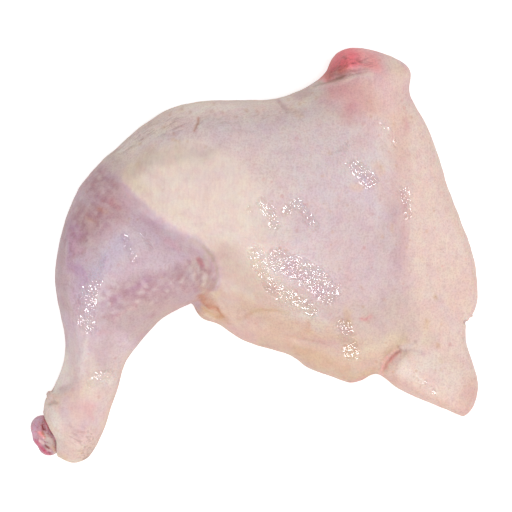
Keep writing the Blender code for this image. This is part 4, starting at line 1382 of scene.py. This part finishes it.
        # Painted shade: the steep sides, which turn from the light, are made darker and warmer.
        brush.blend(Tone.TAN, self.rim_shade_share * smoothstep((self.rim_shade_slope - facing) / self.rim_shade_slope))
        brush.blend(Tone.CRIMSON, self.lip_share * smoothstep((self.lip_reach - socket) / self.lip_reach))
        bare = self.bare_under(places, facing)
        brush.blend(Tone.MEAT, bare)
        piece.write_tint(brush.colours)
        top = facing > self.top_slope
        piece.write_mask("wet", np.maximum(brush.cover(WET_PATCHES) * top, self.under_wet * bare))
        piece.write_mask("calm", brush.cover(CALM_PATCHES) * (1 - bare))
        piece.write_mask("pored", brush.cover(PORE_PATCHES) * (1 - bare))
        piece.write_mask("wrinkled", brush.cover(WRINKLE_PATCHES) * top)
        piece.write_mask("scaly", brush.cover(SCALE_PATCHES))
        piece.write_mask("fibrous", np.maximum(brush.cover(FIBRE_PATCHES), bare))


@dataclass
class Knuckle:
    """The bare end of the shin bone in the cut hock.

    Attributes:
        voxel: The size of its fine faces, in metres.
        relax_rounds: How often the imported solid's facets are relaxed.
        upper_from: The upward part of the normal from which the folds show.
        upper_fade: How much further up the folds have their full depth.
        base: The tone that shows where nothing else does.
    """

    voxel: float = 0.3 * MM
    relax_rounds: int = 8
    upper_from: float = -0.2
    upper_fade: float = 0.4
    base: Tone = Tone.GRISTLE

    def build(self) -> Piece:
        """Return the finished mesh with its tones."""
        piece = Piece("bare_knuckle", "hock_knuckle")
        piece.refine(self.voxel, self.relax_rounds)
        places, normals = piece.read("co"), piece.read("normal")
        brush = Brush(places, self.base)
        upper = smoothstep((normals[:, 2] - self.upper_from) / self.upper_fade)
        piece.move(places - normals * (fold_depth(brush.seen, KNUCKLE_FOLDS) * upper)[:, None])
        brush.lay(KNUCKLE_DABS)
        piece.write_tint(brush.colours)
        return piece


@dataclass(frozen=True)
class Lamp:
    """A round studio lamp that points at the meat.

    Attributes:
        name: The lamp's name.
        place: Where it hangs, in metres.
        size: How wide it is, in metres.
        power: How strong it is, in watts.
    """

    name: str
    place: tuple[float, float, float]
    size: float
    power: float

    def hang(self) -> None:
        """Put the lamp in the scene."""
        data = bpy.data.lights.new(self.name, "AREA")
        data.shape = "DISK"
        data.size = self.size
        data.energy = self.power
        lamp = bpy.data.objects.new(self.name, data)
        lamp.location = self.place
        lamp.rotation_euler = Vector(self.place).to_track_quat("Z", "Y").to_euler()
        bpy.context.collection.objects.link(lamp)


# Each lamp hangs where one of the wet patches mirrors it up to the camera.
LAMPS: tuple[Lamp, ...] = (
    Lamp("softbox_front", (0.19, -0.92, 0.74), 0.19, 2.4),
    Lamp("softbox_corner", (-0.17, -0.98, 0.62), 0.13, 0.9),
    Lamp("softbox_low", (0.6, -0.94, 0.45), 0.11, 0.6),
    Lamp("softbox_left", (-0.73, -0.71, 0.64), 0.17, 1.8),
    Lamp("softbox_right", (0.92, 0.2, 0.74), 0.18, 2.0),
    Lamp("softbox_side", (1.12, 0.03, 0.45), 0.13, 0.8),
    Lamp("softbox_top", (0.14, -0.12, 1.18), 0.16, 1.9),
    Lamp("softbox_back", (-0.12, 0.39, 1.13), 0.12, 1.1),
    Lamp("softbox_rear", (-0.2, 1.0, 0.64), 0.4, 1.0),
)


@dataclass
class Studio:
    """The pale table, the soft light and the camera straight above.

    Attributes:
        table_half: Half the table's width, in metres.
        table_drop: How far the table's top lies under the meat, in metres.
        table_shade: How much light the table sends back.
        table_roughness: How matt the table is.
        table_glow: How strongly the table shines by itself.
        rim_glow: The share of that which lights the meat's rim.
        sky: How strong the even light from all round is.
        sensor: The camera's sensor width, in mm.
        lamps: The lamps.
    """

    table_half: float = 3.0
    table_drop: float = 0.02 * MM
    table_shade: float = 0.75
    table_roughness: float = 0.9
    table_glow: float = 0.6
    rim_glow: float = 0.35
    sky: float = 0.41
    sensor: float = 36.0
    lamps: tuple[Lamp, ...] = LAMPS

    def build(self) -> None:
        """Set up the table, the sky, the lamps and the camera."""
        self.lay_table()
        self.light()
        self.aim_camera()

    def lay_table(self) -> None:
        """Lay the table's top just under the meat."""
        deselect()
        bpy.ops.mesh.primitive_plane_add(size=2 * self.table_half, location=(0, 0, -self.table_drop))
        table = bpy.context.object
        table.name = "table_top"
        finish = bpy.data.materials.new("pale_table")
        finish.use_nodes = True
        shader = finish.node_tree.nodes["Principled BSDF"]
        shader.inputs["Base Color"].default_value = (*[self.table_shade] * 3, 1)
        shader.inputs["Roughness"].default_value = self.table_roughness
        # The table looks white to the camera, but lights the meat's rim no more than a pale one does.
        graph = Graph(finish.node_tree)
        seen = graph.add("ShaderNodeLightPath").outputs["Is Camera Ray"]
        graph.feed(shader, "Emission Color", graph.mix(seen, (*[self.rim_glow] * 3, 1), (1, 1, 1, 1)))
        shader.inputs["Emission Strength"].default_value = self.table_glow
        table.data.materials.append(finish)

    def light(self) -> None:
        """Light the scene evenly from all round, with the lamps on top."""
        world = bpy.data.worlds.new("soft_sky")
        world.use_nodes = True
        background = world.node_tree.nodes["Background"]
        background.inputs["Color"].default_value = (1.0, 1.0, 1.0, 1)
        background.inputs["Strength"].default_value = self.sky
        bpy.context.scene.world = world
        for lamp in self.lamps:
            lamp.hang()
        bpy.context.scene.view_settings.view_transform = "Standard"

    def aim_camera(self) -> None:
        """Hang the camera over the part, looking straight down."""
        data = bpy.data.cameras.new("camera_above")
        data.sensor_width = self.sensor
        data.lens = self.sensor * CAMERA_RISE / (FRAME_PIXELS * PIXEL)
        camera = bpy.data.objects.new("camera_above", data)
        camera.location = (*AIM, CAMERA_RISE + PLANE_HEIGHT)
        bpy.context.collection.objects.link(camera)
        bpy.context.scene.camera = camera


def main() -> None:
    """Build, dress and light the leg quarter, in that order."""
    logging.basicConfig(level=logging.INFO)
    marbling, pores = marbling_effect(), pore_effect()
    LegQuarter().build().dress(HideFinish().material(marbling, pores), "raw_skin")
    Knuckle().build().dress(GristleFinish().material(marbling), "raw_joint")
    Studio().build()


if __name__ == "__main__":
    main()
